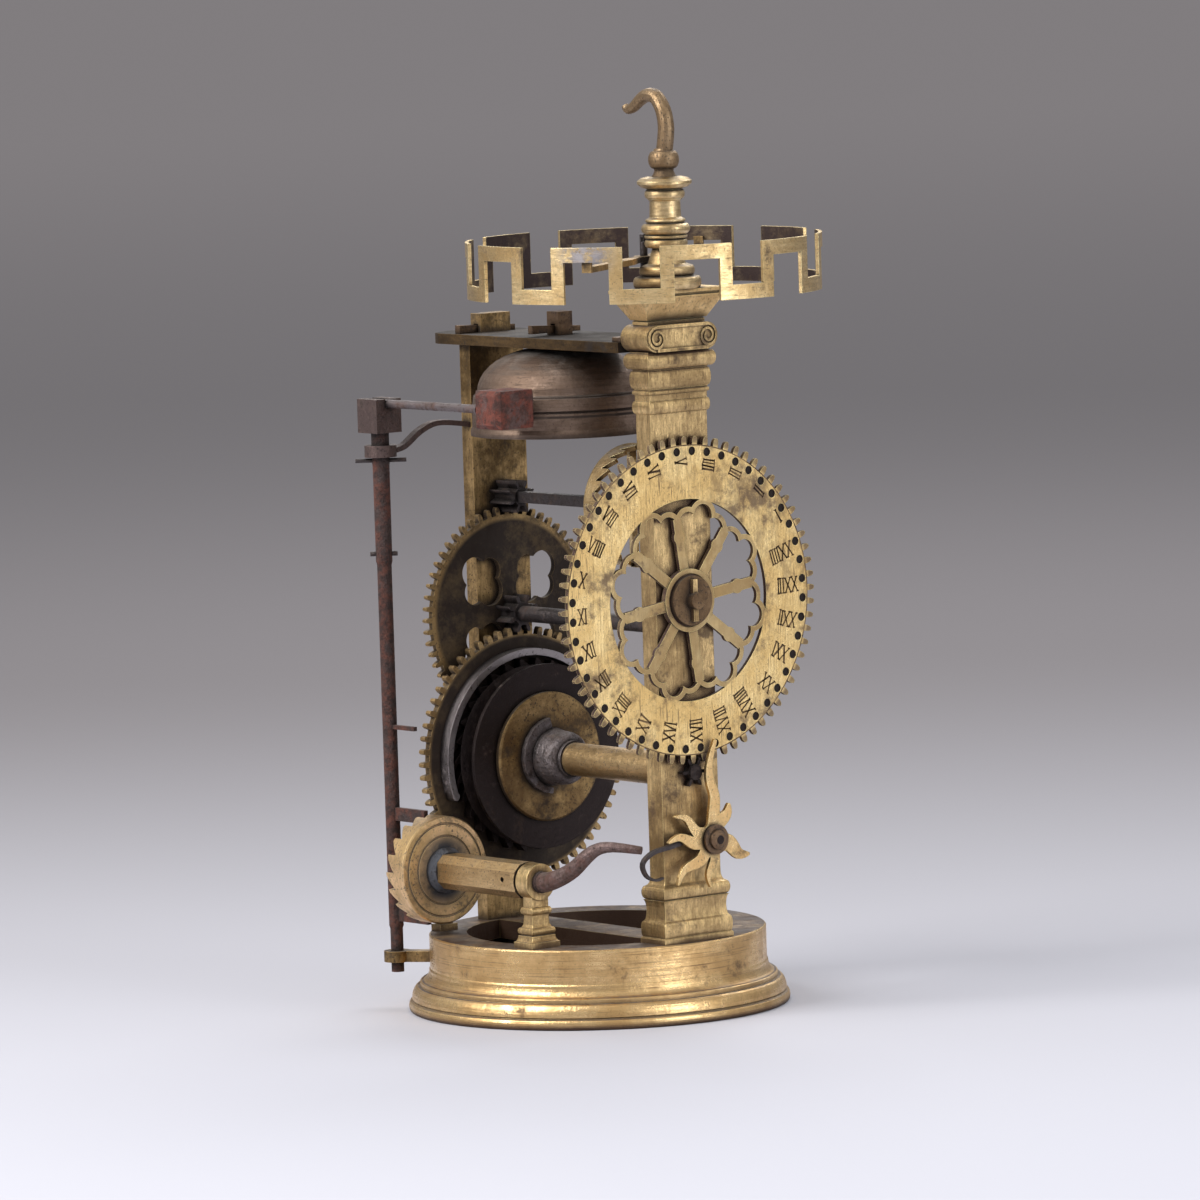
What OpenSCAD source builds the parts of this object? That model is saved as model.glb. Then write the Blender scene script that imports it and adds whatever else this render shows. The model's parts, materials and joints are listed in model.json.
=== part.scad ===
// Monastic alarm clock: a brass tower frame on a round moulded foot, with a going train of three
// arbors, a verge escapement under a crown-shaped balance, a geared 24-hour dial and a bell alarm.
// Millimetres. +Z is up, the dial faces -Y, and the alarm barrel stands on the -X side.
// The origin is the middle of the foot's lower face.

/* [Base] */
// Height of the foot
base_h = 16.2; // [14:0.2:20]
// Radius of the foot's upper drum
drum_r = 35.7; // [35:0.1:38]
// How far the foot's lowest moulding stands out past the drum
foot_spread = 4.7; // [3:0.1:7]
// Radius of the opening in the foot
base_inner_r = 27.7; // [25:0.1:29]
// Width of the bar that joins the two columns across the foot
bar_w = 9.6; // [8:0.2:12]
// Thickness of that bar
bar_t = 4.0; // [3:0.2:6]

/* [Columns] */
// How far each column's axis stands inside the foot's drum
column_inset = 5.9; // [5.6:0.1:6.2]
// Width of the front column
front_w = 15.2; // [13:0.2:16]
// Depth of the front column
front_d = 4.7; // [4:0.1:5.2]
// Width of the back column
back_w = 14.6; // [12:0.2:16]
// Depth of the back column
back_d = 3.4; // [3:0.1:3.8]
// Height of the top plate's lower face
plate_z = 139.6; // [139:0.2:142]
// Thickness of the top plate
plate_t = 2.2; // [1.6:0.1:2.4]
// Width of the top plate
plate_w = 20.2; // [17:0.2:22]

/* [Bell] */
// Radius of the bell's mouth
bell_r = 19.5; // [18:0.1:20]
// Height of the bell's mouth
bell_rim_z = 121.2; // [121:0.1:123]
// Wall thickness of the bell
bell_wall = 1.2; // [1:0.1:1.6]
// Distance of the bell's axis in front of the back column's axis
bell_off = 23.5; // [22.8:0.1:23.8]

/* [Train] */
// Height of the great arbor
great_z = 51.7; // [51:0.1:52]
// Distance from the great arbor to the second arbor
great_gap = 30.1; // [30:0.1:31]
// Distance from the second arbor to the escape arbor
second_gap = 25.0; // [24.8:0.1:25.4]
// Distance from the great arbor to the dial's axis
dial_gap = 36.0; // [35.8:0.1:36.5]
// Thickness of the great wheel
great_wheel_t = 1.5; // [1.2:0.1:1.6]
// Thickness of the second wheel
second_wheel_t = 1.2; // [1:0.1:1.4]
// Radius of each arbor's pivots
pivot_r = 0.9; // [0.7:0.05:1.1]
// Radial play of each pivot in its hole
pivot_play = 0.05; // [0.02:0.01:0.09]

/* [Winding pulley] */
// Radius of the pulley's iron cheek
cheek_r = 19.7; // [18.5:0.1:20.5]
// Radius of the ratchet teeth
ratchet_r = 20.6; // [19.6:0.1:21]
// Outer radius of the click spring
click_r = 22.7; // [22.4:0.1:22.9]

/* [Dial] */
// Radius of the opening inside the numeral ring
dial_inner_r = 21.1; // [20.5:0.1:22]
// Thickness of the dial
dial_t = 0.9; // [0.7:0.1:1.2]
// Radius of the circle of peg holes
peg_circle_r = 31.1; // [30.8:0.1:31.3]
// Radius of each peg hole
peg_r = 0.9; // [0.7:0.05:1]
// Width of each dial spoke
spoke_w = 2.3; // [1.8:0.1:2.8]

/* [Escapement] */
// Radius of the escape wheel
crown_r = 13.0; // [12:0.1:13.4]
// Distance of the verge behind the front column's axis
verge_off = 7.4; // [7.2:0.1:7.6]
// Radius of the verge staff
verge_r = 0.8; // [0.6:0.05:0.9]
// Radius of the balance crown
balance_r = 37.2; // [35:0.2:40]
// Height of the balance crown's lower edge
balance_z = 151.5; // [151:0.1:152.4]
// Height of the balance crown
balance_h = 11.7; // [11:0.1:12.6]
// Width of the crown's strip
strip_w = 3.05; // [2.4:0.05:3.6]
// Thickness of the crown's strip
strip_t = 0.75; // [0.5:0.05:1]
// Turn of the balance at rest, from the middle of its swing
swing_rest = 31.7; // [-38:0.1:38]

/* [Alarm] */
// Distance of the alarm arbor to the left of the middle
alarm_x = 27.3; // [27:0.1:27.8]
// Height of the alarm arbor
alarm_z = 30.0; // [29.8:0.1:31]
// Radius of the alarm's crown wheel
alarm_wheel_r = 11.4; // [10.6:0.1:11.6]
// Width across the flats of the eight-sided barrel
barrel_w = 7.2; // [6.4:0.1:7.8]
// Distance of the hammer rod behind the back column's axis
rod_off = 4.4; // [4.2:0.1:5.2]
// Radius of the hammer rod at its upper end
rod_r = 1.9; // [1.7:0.05:2.1]
// Height of the hammer arm
hammer_z = 126.4; // [126:0.1:127]

/* [Top] */
// Radius of the lowest ring of the turned finial
finial_r = 7.1; // [6:0.1:7.4]
// Height of the very top of the hook
hook_top_z = 194.2; // [193:0.1:200]

/* [Hidden] */
$fn = 72;

// Distances from the middle of the foot
column_y = drum_r - column_inset;
bell_y = column_y - bell_off;
verge_y = column_y - verge_off;
rod_y = column_y + rod_off;

// Heights and centre distances that follow from the train
second_z = great_z + great_gap;
escape_z = second_z + second_gap;
dial_z = great_z + dial_gap;

// Numbers of teeth and leaves
great_teeth = 60;
second_teeth = 56;
dial_teeth = 72;
leaves = 8;
dial_leaves = 6;
escape_teeth = 27;
alarm_teeth = 19;
ratchet_teeth = 30;

// Clearances: between bodies that move past each other, and between a wheel and what stands by it
gap = 0.3;
side_gap = 0.6;

// Faces of the columns that look at the train and at the dial
front_inner_y = -column_y + front_d / 2;
front_face_y = -column_y - front_d / 2;
back_inner_y = column_y - back_d / 2;
plate_top_z = plate_z + plate_t;

// Places along the arbors
second_wheel_y = back_inner_y - side_gap - second_wheel_t;
great_wheel_y = second_wheel_y - 1.7 - great_wheel_t;
shoulder_y = back_inner_y - gap;
pivot_l = back_d - 0.4;
arbor_r = 1.6;
tube_r = 3.5;
hub_r = 5.9;
ratchet_t = 2.2;
ratchet_tooth = 2.5;
ratchet_y = great_wheel_y - gap - ratchet_t;
drum_l = 4.4;
cheek_t = 0.9;
cheek_y = ratchet_y - drum_l - cheek_t;
washer_t = 1.2;
hub_y = cheek_y - washer_t - gap;
hub_l = 7.8;

// Pitch radii, shared out by the numbers of teeth
great_pitch_r = great_gap * great_teeth / (great_teeth + leaves);
second_pinion_r = great_gap - great_pitch_r;
second_pitch_r = second_gap * second_teeth / (second_teeth + leaves);
escape_pinion_r = second_gap - second_pitch_r;
dial_pitch_r = dial_gap * dial_teeth / (dial_teeth + dial_leaves);
dial_pinion_r = dial_gap - dial_pitch_r;

// Dial and its stud
dial_y = front_face_y - side_gap - dial_t;
stud_r = 1.7;
dial_hub_r = 6.6;
dial_washer_r = 5.2;
dial_washer_t = 1.0;

// Escapement
crown_wall = 1.0;
crown_tip_y = -verge_y + 1.5 + gap;
crown_back_y = crown_tip_y + 4.8;
pallet_z = crown_r - crown_wall / 2;
pallet_h = 2.2;
staff_pivot_r = 0.5;
staff_top_z = balance_z + balance_h + 0.5;
bar_z = balance_z + 6.5;
balance_bar_t = 1.2;

// Alarm
journal_r = 2.25;
alarm_core_r = 1.3;
cock_y = -13.6;
cock_t = 3.6;
alarm_tip_y = great_wheel_y - 0.8;
alarm_wheel_y = alarm_tip_y - 5.5;
rod_end_z = 6.9;
rod_top_z = hammer_z + 1.0;
rod_foot_r = 1.35;
block_w = 6.6;

// Finial and hook
impost_z = plate_z + 6.0;
finial_z = impost_z + 7.0;
finial_share = 0.56;
finial_h = finial_share * (hook_top_z - finial_z);
hook_z = finial_z + finial_h;

// Let-off star on its stud
star_x = 3.4;
star_z = 37.4;
star_y = front_face_y - 3.3;
star_t = 0.8;
star_stud_r = 0.9;

// Points and curves

// Point of a curve through p1 and p2, shaped by their neighbours, at the share t of the way
function curve_point(p0, p1, p2, p3, t) =
    0.5 * (2 * p1 + (p2 - p0) * t + (2 * p0 - 5 * p1 + 4 * p2 - p3) * t * t
    + (3 * p1 - p0 - 3 * p2 + p3) * t * t * t);

// Smooth curve through the points, with n steps from each to the next
function curve(pts, n) = let (m = len(pts) - 1) concat(
    [for (i = [0 : m - 1], k = [0 : n - 1])
        curve_point(pts[max(i - 1, 0)], pts[i], pts[i + 1], pts[min(i + 2, m)], k / n)],
    [pts[m]]);

function unit(v) = v / norm(v);
function along(pts, i) = unit(pts[min(i + 1, len(pts) - 1)] - pts[max(i - 1, 0)]);

// Flat band of changing half-width along a plane curve
function band(pts, halves) = concat(
    [for (i = [0 : len(pts) - 1]) let (d = along(pts, i)) pts[i] + halves[i] * [-d[1], d[0]]],
    [for (i = [len(pts) - 1 : -1 : 0]) let (d = along(pts, i)) pts[i] - halves[i] * [-d[1], d[0]]]);

// Half-round bead from z0 to z1, as points of how far it stands out and how high it lies
function bead(z0, z1, out, bulge, n = 8) =
    [for (i = [0 : n]) let (a = 180 * i / n) [out + bulge * sin(a), z0 + (z1 - z0) * (1 - cos(a)) / 2]];

// Hollow quarter curve from one width and height to another
function cavetto(out0, z0, out1, z1, n = 6) =
    [for (i = [0 : n]) let (a = 90 * i / n) [out0 + (out1 - out0) * sin(a), z0 + (z1 - z0) * (1 - cos(a))]];

// Half profile and its mirror image, as one closed outline
function both_sides(half, pts) = concat(
    [for (p = pts) [half + p[0], p[1]]],
    [for (i = [len(pts) - 1 : -1 : 0]) [-half - pts[i][0], pts[i][1]]]);

// Shared forms

// Outline in X and Z, pushed along Y from y0 to y1
module along_y(y0, y1) {
    translate([0, y1, 0]) rotate([90, 0, 0]) linear_extrude(y1 - y0) children();
}

// Outline in Y and Z, pushed along X from x0 to x1
module along_x(x0, x1) {
    translate([x0, 0, 0]) rotate([90, 0, 90]) linear_extrude(x1 - x0) children();
}

// Round bar along Y
module bar_y(y0, y1, r) {
    translate([0, y0, 0]) rotate([-90, 0, 0]) cylinder(r = r, h = y1 - y0);
}

// Turned form along Y, from a profile of radius and Y
module turned_y(profile) {
    rotate([-90, 0, 0]) rotate_extrude() polygon(profile);
}

// Rectangular block whose mouldings run round all four sides, mitred at the corners
module moulded(half_x, half_y, pts) {
    reach = max(half_x, half_y) * 3;
    intersection() {
        along_y(-reach, reach) polygon(both_sides(half_x, pts));
        along_x(-reach, reach) polygon(both_sides(half_y, pts));
    }
}

// Round tube of changing radius along a space curve, with side as a direction that it never follows
module tube(pts, radii, side = [1, 0, 0], sides = 14) {
    m = len(pts);
    rings = [for (i = [0 : m - 1]) let (
        d = along(pts, i), u = unit(cross(d, side)), v = cross(d, u))
        for (k = [0 : sides - 1]) let (a = 360 * k / sides)
            pts[i] + radii[i] * (cos(a) * u + sin(a) * v)];
    quads = [for (i = [0 : m - 2], k = [0 : sides - 1]) let (
        a = i * sides + k, b = i * sides + (k + 1) % sides)
        [a, a + sides, b + sides, b]];
    caps = [[for (k = [0 : sides - 1]) k], [for (k = [sides - 1 : -1 : 0]) (m - 1) * sides + k]];
    polyhedron(rings, concat(quads, caps), convexity = 6);
}

// Outline of a toothed wheel: straight flanks up to the pitch circle, then a narrowing round tip
module wheel_outline(n, root, pitch, tip, fill) {
    half = fill * 180 / n;
    mid = pitch + 0.62 * (tip - pitch);
    steps = [[root, -1.06], [pitch, -1], [mid, -0.78], [tip, -0.40],
        [tip, 0.40], [mid, 0.78], [pitch, 1], [root, 1.06]];
    polygon([for (i = [0 : n - 1], s = steps) let (a = 360 * i / n + s[1] * half)
        s[0] * [cos(a), sin(a)]]);
}

// Outline of a pinion with leaves of even thickness and rounded tips
module pinion_outline(n, root, pitch, tip, half) {
    mid = pitch + 0.6 * (tip - pitch);
    steps = [[root, -0.8], [pitch, -1], [mid, -0.75], [tip, -0.25],
        [tip, 0.25], [mid, 0.75], [pitch, 1], [root, 0.8]];
    polygon([for (i = [0 : n - 1], s = steps) let (
        a = 360 * i / n, y = s[1] * half, x = sqrt(s[0] * s[0] - y * y))
        [x * cos(a) - y * sin(a), x * sin(a) + y * cos(a)]]);
}

// Outline of saw teeth round a circle
module saw_outline(n, root, tip) {
    polygon([for (i = [0 : n - 1], s = [[tip, -0.12], [tip, 0], [root, 0.08]])
        let (a = 360 * (i + s[1]) / n) s[0] * [cos(a), sin(a)]]);
}

// Upright ring with saw teeth on its upper edge, as on a crown wheel; turn sets where its seam lies
module crown_ring(r, wall, h, tooth_h, n, lean, turn = 0) {
    step = 2 * PI * r / n;
    difference() {
        rotate([0, 0, turn]) difference() {
            cylinder(r = r, h = h);
            translate([0, 0, -1]) cylinder(r = r - wall, h = h + 2);
        }
        for (i = [0 : n - 1]) rotate([0, 0, 360 * i / n])
            translate([r + 1, 0, h - tooth_h]) rotate([0, -90, 0]) linear_extrude(wall + 2)
                polygon([[0, lean * 0.42 * step], [1.2 * tooth_h, lean * 0.42 * step],
                    [1.2 * tooth_h, -lean * 0.56 * step]]);
    }
}

// Frame

tenon_r = 2;
nut_t = 2.4;
nut_half = 2.6;

// Cast foot: moulded skirt, flat top flange and the bar that carries the columns
module base_ring() {
    s = foot_spread / 4.7;
    low = base_h - 7.2;
    wall = 3;
    outside = concat(
        bead(0, 2.1, 4.2 * s, 0.5 * s),
        [[3.8 * s, 2.3], [4.0 * s, 2.6]],
        [for (i = [0 : 6]) let (a = 90 * i / 6) [(2.4 + 1.6 * cos(a)) * s, 2.6 + 2.7 * sin(a)]],
        [[2.2 * s, 5.3], [2.2 * s, 6.1]],
        [for (i = [0 : 6]) let (a = 90 * i / 6)
            [(0.2 + 1.7 * (1 - sin(a))) * s, 6.3 + (low - 6.6) * (1 - cos(a))]],
        [[0, low], [0, base_h - 0.3], [-0.3, base_h]]);
    color("goldenrod") difference() {
        union() {
            rotate_extrude($fn = 180) polygon(concat(
                [for (p = outside) [drum_r + p[0], p[1]]],
                [[base_inner_r, base_h], [base_inner_r, base_h - bar_t], [drum_r - wall, base_h - bar_t],
                [drum_r - wall, low], [drum_r + foot_spread - wall, 2], [drum_r + foot_spread - wall, 0]]));
            translate([-bar_w / 2, -base_inner_r - 1, base_h - bar_t])
                cube([bar_w, 2 * base_inner_r + 2, bar_t]);
        }
        for (y = [-column_y, column_y]) translate([0, y, base_h - bar_t - 1])
            cylinder(r = tenon_r, h = bar_t + 2);
    }
}

// Square iron nuts under the flange, one on each column's tail
module column_nuts() {
    color("dimgray") for (y = [-column_y, column_y])
        translate([0, y, base_h - bar_t - nut_t]) difference() {
            translate([-nut_half, -nut_half, 0]) cube([2 * nut_half, 2 * nut_half, nut_t]);
            translate([0, 0, -1]) cylinder(r = tenon_r, h = nut_t + 2);
        }
}

pedestal_h = 14.0;
capital_z = plate_z - 12.8;
block_z = plate_z + 0.2;
block_h = 5.6;
tongue_w = 6;
tongue_l = 1.6;
block_half_y = 4.6;

// Front column with its moulded pedestal and the lower members of its capital
module front_column() {
    profile = concat(
        [[1.7, base_h], [1.7, base_h + 1.0], [1.45, base_h + 1.3]],
        bead(base_h + 1.3, base_h + 4.5, 1.3, 0.3),
        [for (i = [0 : 8]) let (a = 180 * i / 8)
            [1.2 - 0.5 * sin(a), base_h + 4.6 + 2.25 * (1 - cos(a))]],
        bead(base_h + 9.2, base_h + 12.0, 0.75, 0.65),
        cavetto(0.7, base_h + 12.1, 0, base_h + pedestal_h),
        [[0, capital_z]],
        bead(capital_z + 0.1, capital_z + 2.8, 0.1, 0.45),
        [[0.1, capital_z + 3.9]],
        bead(capital_z + 4.0, capital_z + 5.0, 0.1, 0.4, 6),
        [[0.3, capital_z + 5.2]],
        bead(capital_z + 5.3, capital_z + 9.1, 0.3, 0.5),
        [[0.3, capital_z + 9.3]],
        bead(capital_z + 9.4, capital_z + 12.8, 0.7, 0.95),
        [[0.6, capital_z + 13]]);
    color("goldenrod") difference() {
        union() {
            translate([0, -column_y, 0]) moulded(front_w / 2, front_d / 2, profile);
            translate([0, -column_y, base_h - bar_t - nut_t]) cylinder(r = tenon_r, h = bar_t + nut_t + 1);
        }
        translate([0, 0, great_z]) bar_y(front_face_y - 5, front_inner_y + 5, arbor_r + pivot_play);
        translate([0, 0, second_z]) bar_y(-column_y - 0.6, front_inner_y + 5, pivot_r + pivot_play);
        translate([0, 0, dial_z]) bar_y(front_face_y - 5, -column_y + 1, stud_r);
        translate([star_x, 0, star_z]) bar_y(front_face_y - 5, -column_y + 1, star_stud_r);
    }
}

scroll_r = block_h / 2;
scroll_x = front_w / 2 + 2 - scroll_r;

// Scroll block of the capital, with a spiral at each end of both faces and a sunk panel between
module front_capital() {
    turns = [for (i = [0 : 26]) 26 * i];
    spiral = [for (a = turns) let (r = scroll_r - 0.35 - 1.75 * a / 676) r * [cos(90 - a), sin(90 - a)]];
    color("goldenrod") difference() {
        translate([0, -column_y, block_z + scroll_r]) {
            along_y(-block_half_y + 0.4, block_half_y - 0.4)
                square([2 * scroll_x, block_h], center = true);
            for (x = [-scroll_x, scroll_x])
                translate([x, 0, 0]) bar_y(-block_half_y + 0.4, block_half_y - 0.4, scroll_r);
            for (side = [-1, 1], y0 = [-block_half_y, block_half_y - 0.4])
                translate([side * scroll_x, 0, 0]) along_y(y0, y0 + 0.4)
                    polygon([for (p = band(spiral, [for (a = turns) 0.26])) [side * p[0], p[1]]]);
            for (z = [-scroll_r, scroll_r - 0.7]) along_y(-block_half_y, block_half_y)
                translate([-scroll_x, z]) square([2 * scroll_x, 0.7]);
        }
        translate([-tongue_w / 2, -column_y + block_half_y - tongue_l, plate_z])
            cube([tongue_w, tongue_l + 1, plate_t]);
    }
}

// Block that spreads from the scrolls to the slab under the finial
module impost() {
    profile = [[0.1, impost_z - 0.2], [0.1, impost_z + 0.5], [-0.2, impost_z + 0.7],
        [0.4, impost_z + 0.8], [3.0, impost_z + 5.2], [3.2, impost_z + 5.4], [3.2, impost_z + 5.7],
        [2.9, impost_z + 5.9], [3.1, impost_z + 6.2], [3.5, impost_z + 6.3], [3.5, finial_z]];
    color("goldenrod") translate([0, -column_y, 0]) moulded(front_w / 2, front_d / 2, profile);
}

// Plain back column, tenoned through the top plate
module back_column() {
    color("darkgoldenrod") difference() {
        union() {
            translate([-back_w / 2, back_inner_y, base_h]) cube([back_w, back_d, plate_z - base_h]);
            translate([-4, back_inner_y, plate_z - 1]) cube([8, back_d, plate_t + 5]);
            translate([0, column_y, base_h - bar_t - nut_t]) cylinder(r = tenon_r, h = bar_t + nut_t + 1);
        }
        for (z = [great_z, second_z, escape_z]) translate([0, 0, z])
            bar_y(back_inner_y - 1, back_inner_y + pivot_l + 0.2, pivot_r + pivot_play);
        translate([-5, column_y - 0.8, plate_top_z - 0.01]) cube([10, 1.6, 1.8]);
    }
}

plate_end_y = column_y + 10.4;
bell_stud_r = 1.5;
verge_hole_r = 1.5;

// Bridge between the columns that carries the bell
module top_plate() {
    y0 = -column_y + block_half_y;
    half = plate_w / 2;
    color("darkgoldenrod") difference() {
        translate([0, 0, plate_z]) linear_extrude(plate_t) polygon(concat(
            [[-tongue_w / 2, y0 - tongue_l], [tongue_w / 2, y0 - tongue_l],
            [tongue_w / 2, y0], [half, y0], [half, back_inner_y]],
            [for (i = [0 : 8]) let (a = 90 - 180 * i / 8)
                [half * sin(a), plate_end_y - 5 + 5 * cos(a)]],
            [[-half, back_inner_y], [-half, y0], [-tongue_w / 2, y0]]));
        translate([-4, back_inner_y, plate_z - 1]) cube([8, back_d, plate_t + 2]);
        translate([0, bell_y, plate_z - 1]) cylinder(r = bell_stud_r, h = plate_t + 2);
        translate([0, -verge_y, plate_z - 1]) cylinder(r = verge_hole_r, h = plate_t + 2);
    }
}

// Iron wedges that hold the plate to the two columns
module column_wedges() {
    color("dimgray") {
        translate([-9, column_y - 0.8, plate_top_z]) rotate([90, 0, 0]) translate([0, 0, -1.6])
            linear_extrude(1.6) polygon([[0, 0], [15, 0], [15, 1.2], [0, 1.8]]);
        translate([-9.4, -column_y + block_half_y, plate_top_z])
            linear_extrude(1.0) polygon([[0, 0], [7, 0], [7, 2.2], [1, 3.4], [0, 2.6]]);
    }
}

// Turned finial, notched behind for the verge
module finial() {
    r = finial_r;
    drawn_h = 23.3;
    k = finial_h / drawn_h;
    profile = concat([[0, 0]],
        bead(0, 2.5, r - 0.7, 0.7), [[r - 1.3, 2.6]],
        bead(2.7, 4.8, r - 1.9, 0.6), [[r - 3, 5.2]],
        [for (i = [0 : 6]) let (a = 15 * i) [2.9 + (r - 6) * (1 - sin(a)), 5.2 + 3.2 * sin(a)]],
        bead(8.5, 10.4, 3.7, 0.8), bead(10.5, 11.2, 4.2, 0.3, 4), bead(11.3, 13.6, 4.0, 1.1),
        bead(13.7, 14.6, 3.7, 0.5, 4), [[3.3, 14.9], [3.2, 18.2], [3.6, 18.6]],
        bead(18.7, 20.6, 3.6, 0.6),
        [[3.9, 20.8], [4.9, 21.1], [5.7, 21.8], [5.7, 22.4], [4.9, 23.0], [3.6, drawn_h], [0, drawn_h]]);
    color("goldenrod") difference() {
        translate([0, -column_y, finial_z]) rotate_extrude() polygon([for (p = profile) [p[0], k * p[1]]]);
        translate([0, -verge_y, finial_z - 1]) cylinder(r = verge_r + gap + 0.1, h = 4);
    }
}

// Iron hook that the clock is hung by, with its turned root
module hook() {
    drawn_h = 18.42;
    k = (hook_top_z - hook_z) / drawn_h;
    root = concat([[0, 0], [2.6, 0], [2.3, 0.5], [2.0, 1.2]], bead(1.6, 5.4, 2.1, 1.15),
        [[1.9, 5.8], [0, 6.2]]);
    bend = curve([[0, -0.2, 4.8], [0, -0.9, 8.1], [0, -1.1, 10.8], [0, -0.3, 13.9], [0, 1.6, 16.3],
        [0, 3.6, 16.9], [0, 5.6, 16.6], [0, 7.6, 15.5], [0, 9.4, 14.3], [0, 11.2, 13.8],
        [0, 12.1, 14.5]], 3);
    path = k * bend;
    m = len(path) - 1;
    color("saddlebrown") translate([0, -column_y, hook_z]) {
        rotate_extrude() polygon(k * root);
        tube(path, [for (i = [0 : m]) let (t = i / m) k * (1.75 - 0.95 * t * t)]);
    }
}

// Bell

bell_top_z = plate_z - 0.4;
stud_top_z = plate_top_z + 5;

// Shallow bronze bell with a thickened lip and turned bands
module bell() {
    r = bell_r;
    z = bell_rim_z;
    h = bell_top_z - z;
    shoulder = [for (i = [0 : 10]) let (a = 90 * i / 10)
        [4 + (r - 5.6) * cos(a), z + 0.5 * h + 0.5 * h * sin(a)]];
    outside = concat(
        [[r, z], [r, z + 0.9], [r - 0.35, z + 1.8], [r - 0.5, z + 5.2], [r - 0.9, z + 5.3],
        [r - 0.9, z + 5.6], [r - 0.45, z + 5.8], [r - 0.75, z + 8.3], [r - 1.2, z + 8.4],
        [r - 1.2, z + 8.7]],
        shoulder, [[0, bell_top_z]]);
    inside = concat([[0, bell_top_z - bell_wall]],
        [for (i = [10 : -1 : 0]) [max(shoulder[i][0] - bell_wall * 0.8, 3), shoulder[i][1] - bell_wall]],
        [[r - 1.9 - bell_wall / 2, z + 6], [r - bell_wall - 0.6, z + 2], [r - bell_wall, z]]);
    color("rosybrown") difference() {
        translate([0, bell_y, 0]) rotate_extrude($fn = 120) polygon(concat(outside, inside));
        translate([0, bell_y, z]) cylinder(r = bell_stud_r, h = h + 1);
    }
}

// Iron stud that carries the bell, with its collar, its inner nut and its square head
module bell_stud() {
    color("dimgray") translate([0, bell_y, 0]) difference() {
        union() {
            translate([0, 0, bell_top_z - bell_wall - 2.6])
                cylinder(r = bell_stud_r, h = stud_top_z - bell_top_z + bell_wall + 2.6);
            translate([0, 0, bell_top_z]) cylinder(r = 3, h = plate_z - bell_top_z);
            translate([0, 0, bell_top_z - bell_wall - 1.8]) cylinder(r = 2.9, h = 1.8);
            translate([-1.9, -1.9, plate_top_z]) cube([3.8, 3.8, stud_top_z - plate_top_z]);
        }
        translate([-3, -0.7, plate_top_z + 0.6]) cube([6, 1.4, 1.8]);
    }
}

// Iron wedge driven through the bell stud
module bell_wedge() {
    color("dimgray") translate([0, bell_y + 0.7, plate_top_z + 0.6]) rotate([90, 0, 0])
        linear_extrude(1.4) polygon([[-8, 0], [5, 0], [5, 1.1], [-8, 1.8]]);
}

// Great arbor and what turns with it

// Iron arbor of the great wheel, from its back pivot to the dial pinion
module great_arbor() {
    front = dial_y + dial_t / 2 - 1.2;
    color("dimgray") translate([0, 0, great_z]) {
        bar_y(front, shoulder_y - 1, arbor_r);
        bar_y(great_wheel_y + great_wheel_t, shoulder_y, 2.6);
        bar_y(shoulder_y - 0.1, back_inner_y + pivot_l, pivot_r);
    }
}

// Great wheel, a plain disc behind the pulley
module great_wheel() {
    tip = great_pitch_r + 0.74;
    color("darkgoldenrod") translate([0, 0, great_z]) difference() {
        along_y(great_wheel_y, great_wheel_y + great_wheel_t) rotate(90)
            wheel_outline(great_teeth, great_pitch_r - 0.96, great_pitch_r, tip, 0.44);
        bar_y(great_wheel_y - 1, great_wheel_y + great_wheel_t + 1, arbor_r);
    }
}

// Open spring hoop on the great wheel, ending below in the nose that clicks over the ratchet
module click_spring() {
    w = 1.5;
    y0 = ratchet_y - 0.2;
    nose_r = 0.85;
    nose_turn = 199;
    nose_at = click_r - w + 0.65;
    color("silver") translate([0, 0, great_z]) {
        difference() {
            bar_y(y0, great_wheel_y, click_r);
            bar_y(y0 - 1, great_wheel_y + 1, click_r - w);
            along_y(y0 - 1, great_wheel_y + 1)
                polygon([[0, 0], [-40, -14], [-40, -40], [40, -40], [40, -6]]);
        }
        translate([nose_at * cos(nose_turn), 0, nose_at * sin(nose_turn)])
            bar_y(y0, great_wheel_y, nose_r, $fn = 32);
    }
}

// Pinion on the front end of the great arbor, which drives the dial
module dial_pinion() {
    y1 = front_face_y - gap;
    color("dimgray") translate([0, 0, great_z]) difference() {
        along_y(dial_y - 0.3, y1)
            pinion_outline(dial_leaves, dial_pinion_r - 1.0, dial_pinion_r, dial_pinion_r + 0.5, 0.34);
        bar_y(dial_y - 1, y1 + 1, arbor_r);
    }
}

// Brass tube on the great arbor, between the hub and the front column
module barrel_tube() {
    color("goldenrod") translate([0, 0, great_z]) difference() {
        bar_y(front_inner_y + gap, hub_y - hub_l, tube_r);
        bar_y(front_inner_y - 1, hub_y, arbor_r);
    }
}

// Iron hub in front of the pulley, drawn in to the tube
module great_hub() {
    y = hub_y;
    color("dimgray") translate([0, 0, great_z]) turned_y(concat(
        [[arbor_r, y], [hub_r, y], [hub_r + 0.3, y - 0.7], [hub_r, y - 1.4], [hub_r - 0.2, y - 4.6]],
        [for (i = [0 : 6]) let (a = 15 * i)
            [tube_r + 0.4 + (hub_r - tube_r - 0.6) * cos(a), y - 4.6 - (hub_l - 5.4) * sin(a)]],
        [[tube_r + 0.4, y - hub_l], [arbor_r, y - hub_l]]));
}

// Curved iron key that holds the hub on its arbor
module hub_key() {
    path = [for (i = [0 : 10]) let (a = 95 + 17 * i) (hub_r + 1.3) * [cos(a), sin(a)]];
    color("dimgray") translate([0, 0, great_z]) difference() {
        along_y(hub_y - 1.2, hub_y) polygon(band(path, [for (i = [0 : 10]) 1.3 - 0.07 * i]));
        turned_y([[0, hub_y + 1], [hub_r + 0.3, hub_y + 1], [hub_r + 0.3, hub_y - 2], [0, hub_y - 2]]);
    }
}

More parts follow.
